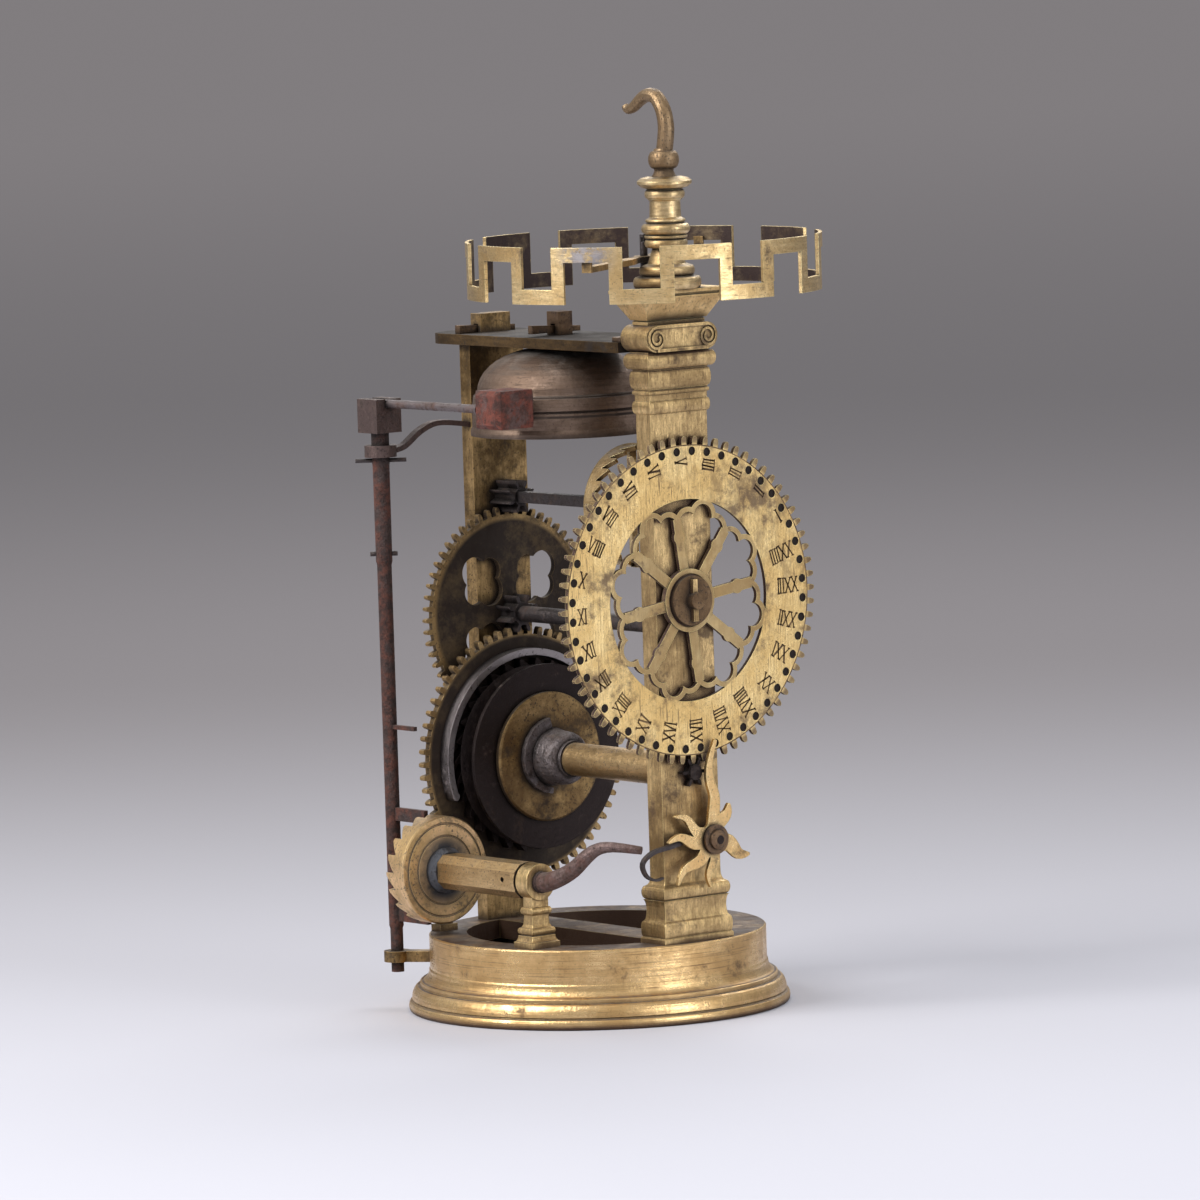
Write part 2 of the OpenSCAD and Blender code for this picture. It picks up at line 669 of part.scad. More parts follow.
// Pulley that the driving rope runs over

// Brass plate at the pulley's middle
module hub_washer() {
    color("goldenrod") translate([0, 0, great_z]) difference() {
        turned_y([[0, cheek_y], [13.8, cheek_y], [13.8, cheek_y - washer_t + 0.3],
            [13.4, cheek_y - washer_t], [0, cheek_y - washer_t]]);
        bar_y(cheek_y - 3, cheek_y + 1, arbor_r + pivot_play);
    }
}

// Dark iron cheek of the pulley
module pulley_cheek() {
    color("dimgray") translate([0, 0, great_z]) difference() {
        bar_y(cheek_y, cheek_y + cheek_t, cheek_r);
        bar_y(cheek_y - 1, cheek_y + cheek_t + 1, arbor_r + pivot_play);
    }
}

// Grooved drum of the pulley, with spikes that grip the rope
module pulley_drum() {
    y0 = cheek_y + cheek_t;
    floor_r = cheek_r - 4.4;
    color("dimgray") translate([0, 0, great_z]) {
        difference() {
            turned_y([[0, y0], [cheek_r - 0.5, y0], [floor_r, y0 + drum_l * 0.4],
                [floor_r, y0 + drum_l * 0.6], [cheek_r - 0.5, y0 + drum_l], [0, y0 + drum_l]]);
            bar_y(y0 - 1, y0 + drum_l + 1, arbor_r + pivot_play);
        }
        for (i = [0 : 11]) rotate([0, 30 * i, 0]) translate([0, y0 + drum_l / 2, floor_r - 0.4])
            cylinder(r1 = 0.7, r2 = 0.15, h = 2.6, $fn = 24);
    }
}

// Ratchet wheel behind the drum
module ratchet_wheel() {
    color("dimgray") translate([0, 0, great_z]) difference() {
        along_y(ratchet_y, ratchet_y + ratchet_t)
            saw_outline(ratchet_teeth, ratchet_r - ratchet_tooth, ratchet_r);
        bar_y(ratchet_y - 1, ratchet_y + ratchet_t + 1, arbor_r + pivot_play);
    }
}

// Second arbor

wheel_seat_r = 2;
front_arbor_r = 1.7;

// Iron arbor with its eight leaves
module second_arbor() {
    y0 = second_wheel_y - 4.6;
    color("dimgray") translate([0, 0, second_z]) {
        along_y(y0, second_wheel_y) rotate(180 / leaves)
            pinion_outline(leaves, second_pinion_r - 1.05, second_pinion_r, second_pinion_r + 0.6, 0.42);
        bar_y(second_wheel_y - 0.5, shoulder_y, wheel_seat_r);
        bar_y(shoulder_y - 0.1, back_inner_y + pivot_l, pivot_r);
        bar_y(front_inner_y + gap, y0 + 0.5, front_arbor_r);
        bar_y(-column_y - 0.4, front_inner_y + 1, pivot_r);
    }
}

// Second wheel, pierced with four quatrefoils
module second_wheel() {
    tip = second_pitch_r + 0.92;
    y1 = second_wheel_y + second_wheel_t;
    lobe_r = 3.3;
    color("darkgoldenrod") translate([0, 0, second_z]) difference() {
        along_y(second_wheel_y, y1) rotate(90)
            wheel_outline(second_teeth, second_pitch_r - 0.8, second_pitch_r, tip, 0.44);
        bar_y(second_wheel_y - 1, y1 + 1, wheel_seat_r);
        for (i = [0 : 3], k = [0 : 3]) rotate([0, 45 + 90 * i, 0]) translate([10.2, 0, 0])
            rotate([0, 90 * k, 0]) translate([2.9, 0, 0])
                bar_y(second_wheel_y - 1, y1 + 1, lobe_r - (k % 2) * 0.5);
    }
}

// Escapement

crown_seat_r = 1.3;
spoke_back = crown_back_y;
spoke_t = 1.0;
escape_hub_y = spoke_back - 1.6;
potence_end_y = crown_back_y - spoke_t - 2.2;

// Square-sided escape arbor with its eight leaves
module escape_arbor() {
    y0 = second_wheel_y - 5.3;
    color("dimgray") translate([0, 0, escape_z]) {
        along_y(y0, shoulder_y) rotate(180 / leaves)
            pinion_outline(leaves, escape_pinion_r - 1.15, escape_pinion_r, escape_pinion_r + 0.5, 0.3);
        bar_y(shoulder_y - 0.1, back_inner_y + pivot_l, pivot_r);
        along_y(spoke_back + 0.4, y0 + 0.1) square(2.3, center = true);
        bar_y(escape_hub_y - 0.3, spoke_back + 0.5, crown_seat_r);
        bar_y(potence_end_y - 1.5, escape_hub_y, pivot_r);
    }
}

// Crown-shaped escape wheel with saw teeth towards the verge, on four spokes
module escape_wheel() {
    color("darkgoldenrod") translate([0, 0, escape_z]) difference() {
        union() {
            translate([0, crown_back_y, 0]) rotate([90, 0, 0])
                crown_ring(crown_r, crown_wall, crown_back_y - crown_tip_y, 2.4, escape_teeth, 1,
                    180 / escape_teeth);
            for (a = [0, 90]) rotate([0, a, 0]) translate([-crown_r + 0.5, spoke_back - spoke_t, -0.9])
                cube([2 * crown_r - 1, spoke_t, 1.8]);
            bar_y(escape_hub_y, spoke_back, 2.5);
        }
        bar_y(escape_hub_y - 1, spoke_back + 1, crown_seat_r);
    }
}

// Bracket on the front column that holds the escape arbor's front pivot behind the verge
module potence() {
    color("dimgray") difference() {
        translate([-2.6, front_inner_y, escape_z - 2.4])
            cube([5.2, potence_end_y - front_inner_y, 4.8]);
        translate([0, 0, escape_z]) bar_y(potence_end_y - 1.7, potence_end_y + 1, pivot_r + pivot_play);
        translate([0, -verge_y, escape_z - 3]) cylinder(r = verge_r + 0.5, h = 6);
    }
}

foot_z = escape_z - pallet_z - pallet_h / 2 - 0.4;
foot_t = 1.8;

// Small shelf on the front column that holds the verge's lower pivot
module verge_foot() {
    reach = -verge_y + 1.4 - front_inner_y;
    color("dimgray") difference() {
        translate([-2, front_inner_y, foot_z - foot_t]) cube([4, reach, foot_t]);
        translate([0, -verge_y, foot_z - foot_t - 1])
            cylinder(r = staff_pivot_r + pivot_play, h = foot_t + 2);
    }
}

// Verge staff with its two pallets and the eye that its thread is tied to
module verge_staff() {
    reach = 1.45;
    color("dimgray") translate([0, -verge_y, 0]) rotate([0, 0, swing_rest]) difference() {
        union() {
            translate([0, 0, foot_z - foot_t + 0.1]) cylinder(r = staff_pivot_r, h = foot_t);
            translate([0, 0, foot_z + 0.1]) cylinder(r = verge_r, h = staff_top_z - foot_z - 0.1);
            for (side = [-1, 1]) translate([0, 0, escape_z + side * pallet_z - pallet_h / 2])
                rotate([0, 0, side * 48]) translate([-0.35, 0, 0]) cube([0.7, reach, pallet_h]);
        }
        translate([-2, -0.25, staff_top_z - 1.6]) cube([4, 0.5, 1]);
    }
}

crown_periods = 10;
leg_w = 2.85;
crown_step = 360 / crown_periods;
leg_angle = leg_w / balance_r * 180 / PI;
top_window = 12;
low_window = crown_step - 2 * leg_angle - top_window;

// Slice of pie up to the radius r, from the angle a0 on, w wide
module slice(a0, w, r, z, h) {
    translate([0, 0, z]) rotate([0, 0, a0]) linear_extrude(h)
        polygon([[0, 0], r * [1, 0], r * [cos(w / 2), sin(w / 2)] / cos(w / 2), r * [cos(w), sin(w)]]);
}

// Crown-shaped balance: one thin strip that steps up and down ten times round the circle, with an
// upper step at each end of its bar
module balance_crown() {
    first = low_window / 2 + leg_angle;
    color("goldenrod") translate([0, -verge_y, 0]) rotate([0, 0, swing_rest]) difference() {
        translate([0, 0, balance_z]) cylinder(r = balance_r, h = balance_h, $fn = 180);
        translate([0, 0, balance_z - 1]) cylinder(r = balance_r - strip_t, h = balance_h + 2, $fn = 180);
        for (i = [0 : crown_periods - 1]) {
            slice(crown_step * i + first, top_window, balance_r + 3, balance_z + strip_w, balance_h);
            slice(crown_step * i + first + top_window + leg_angle, low_window, balance_r + 3,
                balance_z - strip_w, balance_h);
        }
    }
}

// Leaf-shaped bar across the crown, which carries it on the verge, with ends turned up behind the strip
module balance_bar() {
    inner = balance_r - strip_t;
    lug_w = 2;
    lug_t = 0.8;
    lug_h = balance_z + balance_h - strip_w + 0.9 - bar_z;
    half = curve([[-inner - 1, 1.0], [-inner * 0.62, 1.1], [-inner * 0.36, 1.9], [-5, 0.9], [0, 1.9],
        [5, 0.9], [inner * 0.36, 1.9], [inner * 0.62, 1.1], [inner + 1, 1.0]], 4);
    color("goldenrod") translate([0, -verge_y, bar_z]) rotate([0, 0, swing_rest]) difference() {
        intersection() {
            union() {
                linear_extrude(balance_bar_t) polygon(concat(half,
                    [for (i = [len(half) - 1 : -1 : 0]) [half[i][0], -half[i][1]]]));
                for (side = [-1, 1]) translate([side * inner - lug_t, -lug_w / 2, 0])
                    cube([2 * lug_t, lug_w, lug_h]);
            }
            translate([0, 0, -1]) cylinder(r = inner, h = lug_h + 2, $fn = 180);
        }
        translate([0, 0, -1]) cylinder(r = verge_r, h = balance_bar_t + 2);
    }
}

// Dial

dial_hub_t = 0.4;
dial_spokes = 8;
spoke_turn = 98;
lobe_r = 2.45;
trace_w = 1.05;
peg_holes = 48;

// Centres of the three lobes of one tracery arch, in degrees from its middle and in millimetres
lobes = [[-13, dial_inner_r - 5.1], [0, dial_inner_r - 3.2], [13, dial_inner_r - 5.1]];

// Drum along Y round the middle of each lobe of the dial's tracery
module lobe_drums(y0, y1, r) {
    for (i = [0 : dial_spokes - 1], l = lobes)
        let (a = spoke_turn + 360 / dial_spokes * (i + 0.5) + l[0])
            translate([l[1] * cos(a), 0, l[1] * sin(a)]) bar_y(y0, y1, r, $fn = 40);
}

// 24-hour dial in one piece: toothed numeral ring, cusped tracery, spokes and hub
module dial() {
    y0 = dial_y;
    y1 = dial_y + dial_t;
    step = 360 / dial_spokes;
    knuckle_r = 13.4;
    color("gold") translate([0, 0, dial_z]) difference() {
        union() {
            difference() {
                along_y(y0, y1) wheel_outline(dial_teeth, dial_pitch_r - 0.83, dial_pitch_r,
                    dial_pitch_r + 1.0, 0.44);
                bar_y(y0 - 1, y1 + 1, dial_inner_r);
                for (i = [0 : peg_holes - 1]) let (a = 360 / peg_holes * (i + 0.5))
                    translate([peg_circle_r * cos(a), 0, peg_circle_r * sin(a)])
                        bar_y(y0 - 1, y1 + 1, peg_r, $fn = 32);
            }
            difference() {
                lobe_drums(y0, y1, lobe_r + trace_w);
                lobe_drums(y0 - 1, y1 + 1, lobe_r);
                bar_y(y0 - 1, y1 + 1, lobes[0][1] - 0.1);
            }
            for (i = [0 : dial_spokes - 1]) rotate([0, -spoke_turn - step * i, 0]) {
                translate([dial_hub_r - 1, y0, -spoke_w / 2])
                    cube([lobes[0][1] - dial_hub_r + 2.3, dial_t, spoke_w]);
                translate([knuckle_r, 0, 0]) bar_y(y0, y1, spoke_w / 2 + 0.4);
            }
            bar_y(y0 - dial_hub_t, y1, dial_hub_r);
        }
        bar_y(y0 - 2, y1 + 1, stud_r + pivot_play);
        bar_y(y0 - 1, y0 - 0.05, dial_washer_r + 0.4);
    }
}

dial_washer_y = dial_y - 0.05 - gap;
dial_key_t = 1.0;

// Stud on the front column that the dial turns on
module dial_stud() {
    key_y = dial_washer_y - dial_washer_t;
    color("dimgray") translate([0, 0, dial_z]) difference() {
        union() {
            bar_y(key_y - dial_key_t - 0.9, -column_y + 1, stud_r);
            bar_y(front_face_y - side_gap + 0.2, front_face_y, 3);
        }
        translate([-0.6, key_y - dial_key_t, -3]) cube([1.2, dial_key_t, 6]);
    }
}

// Dark washer in front of the dial
module dial_washer() {
    color("dimgray") translate([0, 0, dial_z]) difference() {
        bar_y(dial_washer_y - dial_washer_t, dial_washer_y, dial_washer_r);
        bar_y(dial_washer_y - 3, dial_washer_y + 1, stud_r);
    }
}

// Upright key through the stud
module dial_key() {
    y1 = dial_washer_y - dial_washer_t;
    color("goldenrod") translate([0, 0, dial_z]) along_y(y1 - dial_key_t, y1)
        polygon([[-0.6, -4.3], [0.6, -4.3], [0.6, 4.5], [-0.6, 4.5]]);
}

// Alarm work

// Baluster on the foot whose eye carries the alarm arbor's front journal
module alarm_front_cock() {
    eye_r = journal_r + 1.6;
    h = alarm_z - base_h;
    profile = concat([[1.6, base_h], [1.6, base_h + 1.2]],
        cavetto(1.5, base_h + 1.3, 0.9, base_h + 2.6, 4),
        bead(base_h + 2.7, base_h + 4.3, 0.4, 0.6, 6), [[0.1, base_h + 4.9], [0, base_h + h * 0.45]],
        bead(base_h + h * 0.5, base_h + h * 0.62, 0, 0.5, 6), [[0, base_h + h - 1]]);
    color("goldenrod") translate([-alarm_x, 0, 0]) difference() {
        union() {
            translate([0, cock_y, 0]) moulded(2.15, 1.45, profile);
            translate([0, 0, alarm_z]) bar_y(cock_y - cock_t / 2, cock_y + cock_t / 2, eye_r);
        }
        translate([0, 0, alarm_z]) bar_y(cock_y - 5, cock_y + 5, journal_r + pivot_play);
    }
}

rear_cock_y = alarm_tip_y + gap + 0.1;
rear_cock_t = 1.7;

// Angled cock behind the alarm wheel, for the alarm arbor's back pivot
module alarm_rear_cock() {
    post_x = -21;
    post_w = 3.4;
    half = 2.5;
    color("goldenrod") difference() {
        union() {
            translate([post_x - post_w, rear_cock_y, base_h])
                cube([post_w, rear_cock_t, alarm_z + half - base_h]);
            translate([post_x - post_w - 0.6, rear_cock_y - 0.8, base_h]) cube([post_w + 1.2, 3.2, 1.4]);
            translate([-alarm_x, rear_cock_y, alarm_z - half])
                cube([alarm_x + post_x, rear_cock_t, 2 * half]);
            translate([-alarm_x, 0, alarm_z]) bar_y(rear_cock_y, rear_cock_y + rear_cock_t, half);
        }
        translate([-alarm_x, 0, alarm_z]) bar_y(rear_cock_y - 1, rear_cock_y + 3, pivot_r + pivot_play);
    }
}

barrel_y = cock_y + cock_t / 2 + 0.6;
alarm_collar_t = 2.0;
alarm_collar_r = 4.9;

// Iron alarm arbor, drawn out in front into the bent arm that the let-off hook stops
module alarm_arbor() {
    neck_y = cock_y - cock_t / 2;
    path = curve([[0, neck_y - 0.2, 0], [0, neck_y - 2.4, 0.2], [0.5, neck_y - 5.6, 1.2],
        [1.4, neck_y - 9.4, 3.2], [2.6, neck_y - 12.4, 6.0], [3.8, neck_y - 14.6, 7.6],
        [5.4, neck_y - 17.6, 8.1], [9.0, neck_y - 22.6, 7.4]], 3);
    m = len(path) - 1;
    color("dimgray") translate([-alarm_x, 0, alarm_z]) {
        bar_y(barrel_y - 1, alarm_tip_y - 0.4, alarm_core_r);
        turned_y([[0, alarm_wheel_y - alarm_collar_t], [alarm_collar_r - 0.9, alarm_wheel_y - alarm_collar_t],
            [alarm_collar_r, alarm_wheel_y - 0.6], [alarm_collar_r, alarm_wheel_y], [0, alarm_wheel_y]]);
        bar_y(alarm_tip_y - 0.5, rear_cock_y + rear_cock_t, pivot_r);
        bar_y(neck_y - 0.8, barrel_y, journal_r);
        tube(path, [for (i = [0 : m]) 2.15 - 1.3 * pow(i / m, 1.3)]);
    }
}

// Eight-sided brass barrel that the alarm's rope is wound on
module alarm_barrel() {
    a = barrel_w / 2;
    b = a - 1.55;
    color("goldenrod") translate([-alarm_x, 0, alarm_z]) difference() {
        union() {
            along_y(barrel_y, alarm_wheel_y - alarm_collar_t)
                polygon([[a, -b], [a, b], [b, a], [-b, a], [-a, b], [-a, -b], [-b, -a], [b, -a]]);
            bar_y(barrel_y, barrel_y + 1.2, a + 0.35);
        }
        bar_y(barrel_y - 1, alarm_wheel_y + 1, alarm_core_r);
        translate([-a - 1, barrel_y + 4.2, 0.2]) rotate([0, 90, 0]) cylinder(r = 0.55, h = a, $fn = 24);
    }
}

// Alarm wheel: grooved disc with a crown of saw teeth behind
module alarm_wheel() {
    r = alarm_wheel_r;
    face = alarm_wheel_y;
    color("goldenrod") translate([-alarm_x, 0, alarm_z]) difference() {
        union() {
            turned_y([[0, face], [r - 4.4, face], [r - 4.3, face + 0.25], [r - 4.0, face + 0.25],
                [r - 3.9, face], [r - 1.8, face], [r - 1.7, face + 0.25], [r - 1.4, face + 0.25],
                [r - 1.3, face], [r - 0.3, face], [r, face + 0.3], [r, face + 1.5], [0, face + 1.5]]);
            translate([0, face + 1.4, 0]) rotate([-90, 0, 0])
                crown_ring(r, 1.3, alarm_tip_y - face - 1.4, 2.4, alarm_teeth, -1);
        }
        bar_y(face - 2, face + 3, alarm_core_r);
    }
}

// Hammer work

lower_eye_z = base_h - 7.1;
lower_eye_h = 2.3;
upper_eye_z = hammer_z - 9.6;
upper_eye_h = 2.5;
eye_wall = 1.5;

// Brass arm on the foot's drum with the eye for the hammer rod's lower end
module rod_lower_cock() {
    turn = atan2(rod_y, -alarm_x);
    reach = norm([alarm_x, rod_y]);
    color("goldenrod") difference() {
        translate([0, 0, lower_eye_z]) union() {
            translate([-alarm_x, rod_y, 0]) cylinder(r = rod_foot_r + eye_wall, h = lower_eye_h);
            rotate([0, 0, turn]) translate([drum_r - 1, -1.6, 0])
                cube([reach - drum_r - rod_foot_r + 0.8, 3.2, lower_eye_h]);
        }
        translate([-alarm_x, rod_y, 0]) cylinder(r = rod_foot_r + pivot_play, h = base_h);
        translate([0, 0, base_h - 8]) cylinder(r = drum_r, h = 8, $fn = 180);
    }
}

// Brass eye near the top of the hammer rod, on a strip that curves over to the back column
module rod_upper_cock() {
    dx = alarm_x - back_w / 2;
    dy = rod_y - column_y;
    reach = norm([dx, dy]);
    eye_r = rod_r + eye_wall;
    path = curve([[eye_r - 1.2, upper_eye_z + 1.1], [5.4, upper_eye_z + 2.0], [9.0, upper_eye_z + 4.8],
        [13.0, upper_eye_z + 6.4], [reach - 2, upper_eye_z + 6.0], [reach + 2, upper_eye_z + 5.2]], 4);
    color("goldenrod") difference() {
        union() {
            translate([-alarm_x, rod_y, upper_eye_z]) cylinder(r = eye_r, h = upper_eye_h);
            translate([-alarm_x, rod_y, 0]) rotate([0, 0, -atan2(dy, dx)])
                along_y(-1.2, 1.2) polygon(band(path, [for (p = path) 0.55]));
        }
        translate([-alarm_x, rod_y, upper_eye_z - 1]) cylinder(r = rod_r + pivot_play, h = upper_eye_h + 2);
        translate([-back_w / 2, back_inner_y - 2, upper_eye_z]) cube([8, back_d + 4, 20]);
    }
}

alarm_pallet_z = alarm_wheel_r - 0.65;

// Iron hammer rod: the alarm's verge, with two pallets below and a thin arm above them
module hammer_rod() {
    step_z = second_z + 12;
    reach = rod_y - alarm_tip_y - gap - 0.1;
    arm_reach = rod_y - great_wheel_y - great_wheel_t - 0.8;
    color("saddlebrown") translate([-alarm_x, rod_y, 0]) {
        rotate_extrude($fn = 48) polygon([[0, rod_end_z], [rod_foot_r, rod_end_z], [rod_foot_r, base_h],
            [rod_foot_r + 0.2, base_h + 0.6], [rod_foot_r + 0.2, step_z], [rod_r - 0.15, step_z + 0.8],
            [rod_r - 0.1, upper_eye_z - 2], [rod_r, upper_eye_z - 1], [rod_r, rod_top_z], [0, rod_top_z]]);
        for (side = [-1, 1])
            translate([-0.5, -reach, alarm_z + side * alarm_pallet_z - 1.4]) cube([1.0, reach, 2.8]);
        translate([-0.45, -arm_reach, great_z + 7.2]) cube([0.9, arm_reach, 0.9]);
    }
}

// Pins through the hammer rod: the long one under its upper eye and the short one at the step
module rod_pins() {
    color("dimgray") translate([-alarm_x, rod_y, 0]) difference() {
        union() {
            translate([0, 0, upper_eye_z - 0.75]) rotate([0, 90, -39]) translate([0, 0, -5.4])
                cylinder(r = 0.45, h = 10.8, $fn = 24);
            translate([0, 0, second_z + 14.4]) rotate([0, 90, -39]) translate([0, 0, -2.9])
                cylinder(r = 0.5, h = 5.8, $fn = 24);
        }
        translate([0, 0, upper_eye_z - 1]) cylinder(r = rod_r, h = 2, $fn = 48);
        translate([0, 0, upper_eye_z - 3]) cylinder(r = rod_r - 0.03, h = 4, $fn = 48);
        translate([0, 0, second_z + 12]) cylinder(r = rod_r - 0.12, h = 5, $fn = 48);
    }
}

block_z0 = hammer_z - 4.4;

// Square iron block on the rod's top, split for the hammer arm
module hammer_block() {
    color("dimgray") translate([-alarm_x, rod_y, 0]) difference() {
        translate([-block_w / 2, -block_w / 2, block_z0]) cube([block_w, block_w, 7.2]);
        translate([0, 0, block_z0 - 1]) cylinder(r = rod_r, h = rod_top_z - block_z0 + 1, $fn = 48);
        translate([-0.8, -block_w, rod_top_z]) cube([1.6, 2 * block_w, 4]);
    }
}

head_x0 = -29.2;
head_x1 = -18.9;
head_y0 = -8.4;
head_y1 = -0.3;
head_h = 8.0;
arm_z = rod_top_z;
hammer_arm_r = 0.9;

// Iron arm from the block to the hammer head
module hammer_arm() {
    y1 = rod_y + block_w / 2 + 0.9;
    color("dimgray") translate([-alarm_x, 0, 0]) {
        translate([-0.8, rod_y - block_w / 2 - 0.4, arm_z]) cube([1.6, y1 - rod_y + block_w / 2 + 0.4, 1.6]);
        translate([0, 0, arm_z + 0.8]) bar_y(head_y1 - 0.4, rod_y - block_w / 2, hammer_arm_r);
        translate([0, 0, arm_z + 0.8]) bar_y(head_y1, head_y1 + 0.6, 1.4);
    }
}

// Rusty iron hammer head with chamfered edges
module hammer_head() {
    w = head_x1 - head_x0;
    c = 0.9;
    color("saddlebrown") difference() {
        translate([head_x0, 0, arm_z + 0.8 - head_h / 2]) intersection() {
            along_y(head_y0, head_y1) polygon([[0, c], [c, 0], [w - c, 0], [w, c],
                [w, head_h - c], [w - c, head_h], [c, head_h], [0, head_h - c]]);
            translate([0, 0, -1]) linear_extrude(head_h + 2) polygon([[0, head_y0 + c], [c, head_y0],
                [w - c, head_y0], [w, head_y0 + c], [w, head_y1 - c], [w - c, head_y1],
                [c, head_y1], [0, head_y1 - c]]);
        }
        translate([-alarm_x, 0, arm_z + 0.8]) bar_y(head_y1 - 0.4, head_y1 + 1, hammer_arm_r);
    }
}

// Let-off work

knob_t = 1.3;

// Iron stud on the front column for the let-off star
module let_off_stud() {
    color("dimgray") translate([star_x, 0, star_z]) {
        bar_y(star_y - 2.2, -column_y + 1, star_stud_r);
        bar_y(star_y + star_t + gap, front_face_y, 2.2);
    }
}

// Brass star of wavy rays with one long finger, on its own hub
module let_off_star() {
    rays = [[56, 8.4, 1.7, 2.6], [149, 11.8, 1.6, 1.2], [176, 12.2, 1.7, 1.3], [219, 13.2, 1.7, 1.3],
        [261, 10.0, 1.4, 1.1], [-25, 10.4, 1.9, 2.2]];
    finger = curve([[0, 2.2], [0.3, 5.2], [0.6, 9.0], [-0.5, 12.4], [-0.6, 15.4], [0.3, 18.4],
        [1.3, 20.8]], 4);
    m = len(finger) - 1;
    color("goldenrod") translate([star_x, 0, star_z]) difference() {
        union() {
            for (ray = rays) along_y(star_y, star_y + star_t) rotate(ray[0]) polygon(band(
                curve([[2, 0], ray[1] * [0.42, 0.06], ray[1] * [0.74, -0.05], ray[1] * [1, 0.04]], 4),
                [for (i = [0 : 12]) ray[2] * (1 - 0.9 * pow(i / 12, ray[3]))]));
            along_y(star_y, star_y + star_t) polygon(band(finger, [for (i = [0 : m]) 1.7 - 1.35 * i / m]));
            bar_y(star_y, star_y + star_t, 3.4);
        }
        bar_y(star_y - 1, star_y + star_t + 1, star_stud_r + pivot_play);
    }
}

// Iron hook behind the star that catches the alarm arbor's bent arm
module let_off_hook() {
    path = curve([[-2.6, -0.2], [-6.6, 0.2], [-10.8, -0.6], [-15.6, -1.4], [-18.4, -3.4], [-17.6, -6.0],
        [-15.2, -7.2], [-13.2, -6.9]], 4);
    m = len(path) - 1;
    y0 = star_y + star_t;
    color("dimgray") translate([star_x, 0, star_z]) difference() {
        along_y(y0, y0 + 1.0) polygon(band(path, [for (i = [0 : m]) 0.6 - 0.4 * i / m]));
        bar_y(y0 - 1, y0 + 3, 2.6);
    }
}

// Iron rivet and knob that keep the star on its stud
module let_off_knob() {
    y1 = star_y - gap;
    color("dimgray") translate([star_x, 0, star_z]) difference() {
        union() {
            bar_y(y1 - 0.7, y1, 3.1);
            turned_y([[0, y1 - 0.7], [2.1, y1 - 0.7], [2.0, y1 - knob_t], [1.4, y1 - knob_t - 0.5],
                [0, y1 - knob_t - 0.6]]);
        }
        bar_y(star_y - 2.2, star_y + 1, star_stud_r);
    }
}

base_ring();
column_nuts();
front_column();
front_capital();
impost();
back_column();
top_plate();
column_wedges();
finial();
hook();
bell();
bell_stud();
bell_wedge();
great_arbor();
great_wheel();
click_spring();
dial_pinion();
barrel_tube();
great_hub();
hub_washer();
hub_key();
pulley_cheek();
pulley_drum();
ratchet_wheel();
second_arbor();
second_wheel();
escape_arbor();
escape_wheel();
potence();
verge_foot();
verge_staff();
balance_crown();
balance_bar();
dial();
dial_stud();
dial_washer();
dial_key();
alarm_front_cock();
alarm_rear_cock();
alarm_arbor();
alarm_barrel();
alarm_wheel();
rod_lower_cock();
rod_upper_cock();
hammer_rod();
rod_pins();
hammer_block();
hammer_arm();
hammer_head();
let_off_stud();
let_off_star();
let_off_hook();
let_off_knob();
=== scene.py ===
import json
import math
import random

import bpy
from mathutils import Matrix, Vector


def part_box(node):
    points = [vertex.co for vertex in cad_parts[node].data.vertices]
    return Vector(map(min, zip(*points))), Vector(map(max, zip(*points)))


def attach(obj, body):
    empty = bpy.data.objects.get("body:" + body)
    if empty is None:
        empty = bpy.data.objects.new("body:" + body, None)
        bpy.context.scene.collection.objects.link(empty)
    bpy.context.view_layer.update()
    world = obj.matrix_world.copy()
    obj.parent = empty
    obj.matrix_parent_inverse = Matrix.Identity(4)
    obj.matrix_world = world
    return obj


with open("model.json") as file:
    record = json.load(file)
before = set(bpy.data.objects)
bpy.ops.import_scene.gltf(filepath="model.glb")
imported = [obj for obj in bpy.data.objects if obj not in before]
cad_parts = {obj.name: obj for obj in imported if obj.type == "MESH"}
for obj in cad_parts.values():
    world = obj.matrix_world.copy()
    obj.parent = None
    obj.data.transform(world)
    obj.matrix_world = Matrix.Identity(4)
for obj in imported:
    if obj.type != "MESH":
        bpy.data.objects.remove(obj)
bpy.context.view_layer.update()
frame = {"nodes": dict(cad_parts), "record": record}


random.seed(11)

# Camera: a long lens, a little higher than the clock and left of the dial, turned slightly on its own axis
TOWARDS_CAMERA = Vector((-0.629, -0.777, 0.0)).normalized()
TO_THE_RIGHT = Vector((0.777, -0.629, 0.0)).normalized()
UP = Vector((0.0, 0.0, 1.0))
AIM_HEIGHT = 0.0858
AIM_RIGHT = 0.0027
AIM = AIM_HEIGHT * UP + AIM_RIGHT * TO_THE_RIGHT
CAMERA_DISTANCE = 1.89
CAMERA_HEIGHT = 0.268
FARTHEST_SEEN = 20.0
LENS_MM = 270.0
SENSOR_MM = 36.0
ROLL_DEG = 1.8


def make_camera():
    data = bpy.data.cameras.new("camera")
    data.lens = LENS_MM
    data.sensor_width = SENSOR_MM
    data.clip_end = FARTHEST_SEEN
    camera = bpy.data.objects.new("camera", data)
    bpy.context.scene.collection.objects.link(camera)
    place = AIM + TOWARDS_CAMERA * CAMERA_DISTANCE
    place.z = CAMERA_HEIGHT
    look = (AIM - place).to_track_quat("-Z", "Y").to_matrix().to_4x4()
    roll = Matrix.Rotation(math.radians(-ROLL_DEG), 4, "Z")
    camera.matrix_world = Matrix.Translation(place) @ look @ roll
    bpy.context.scene.camera = camera


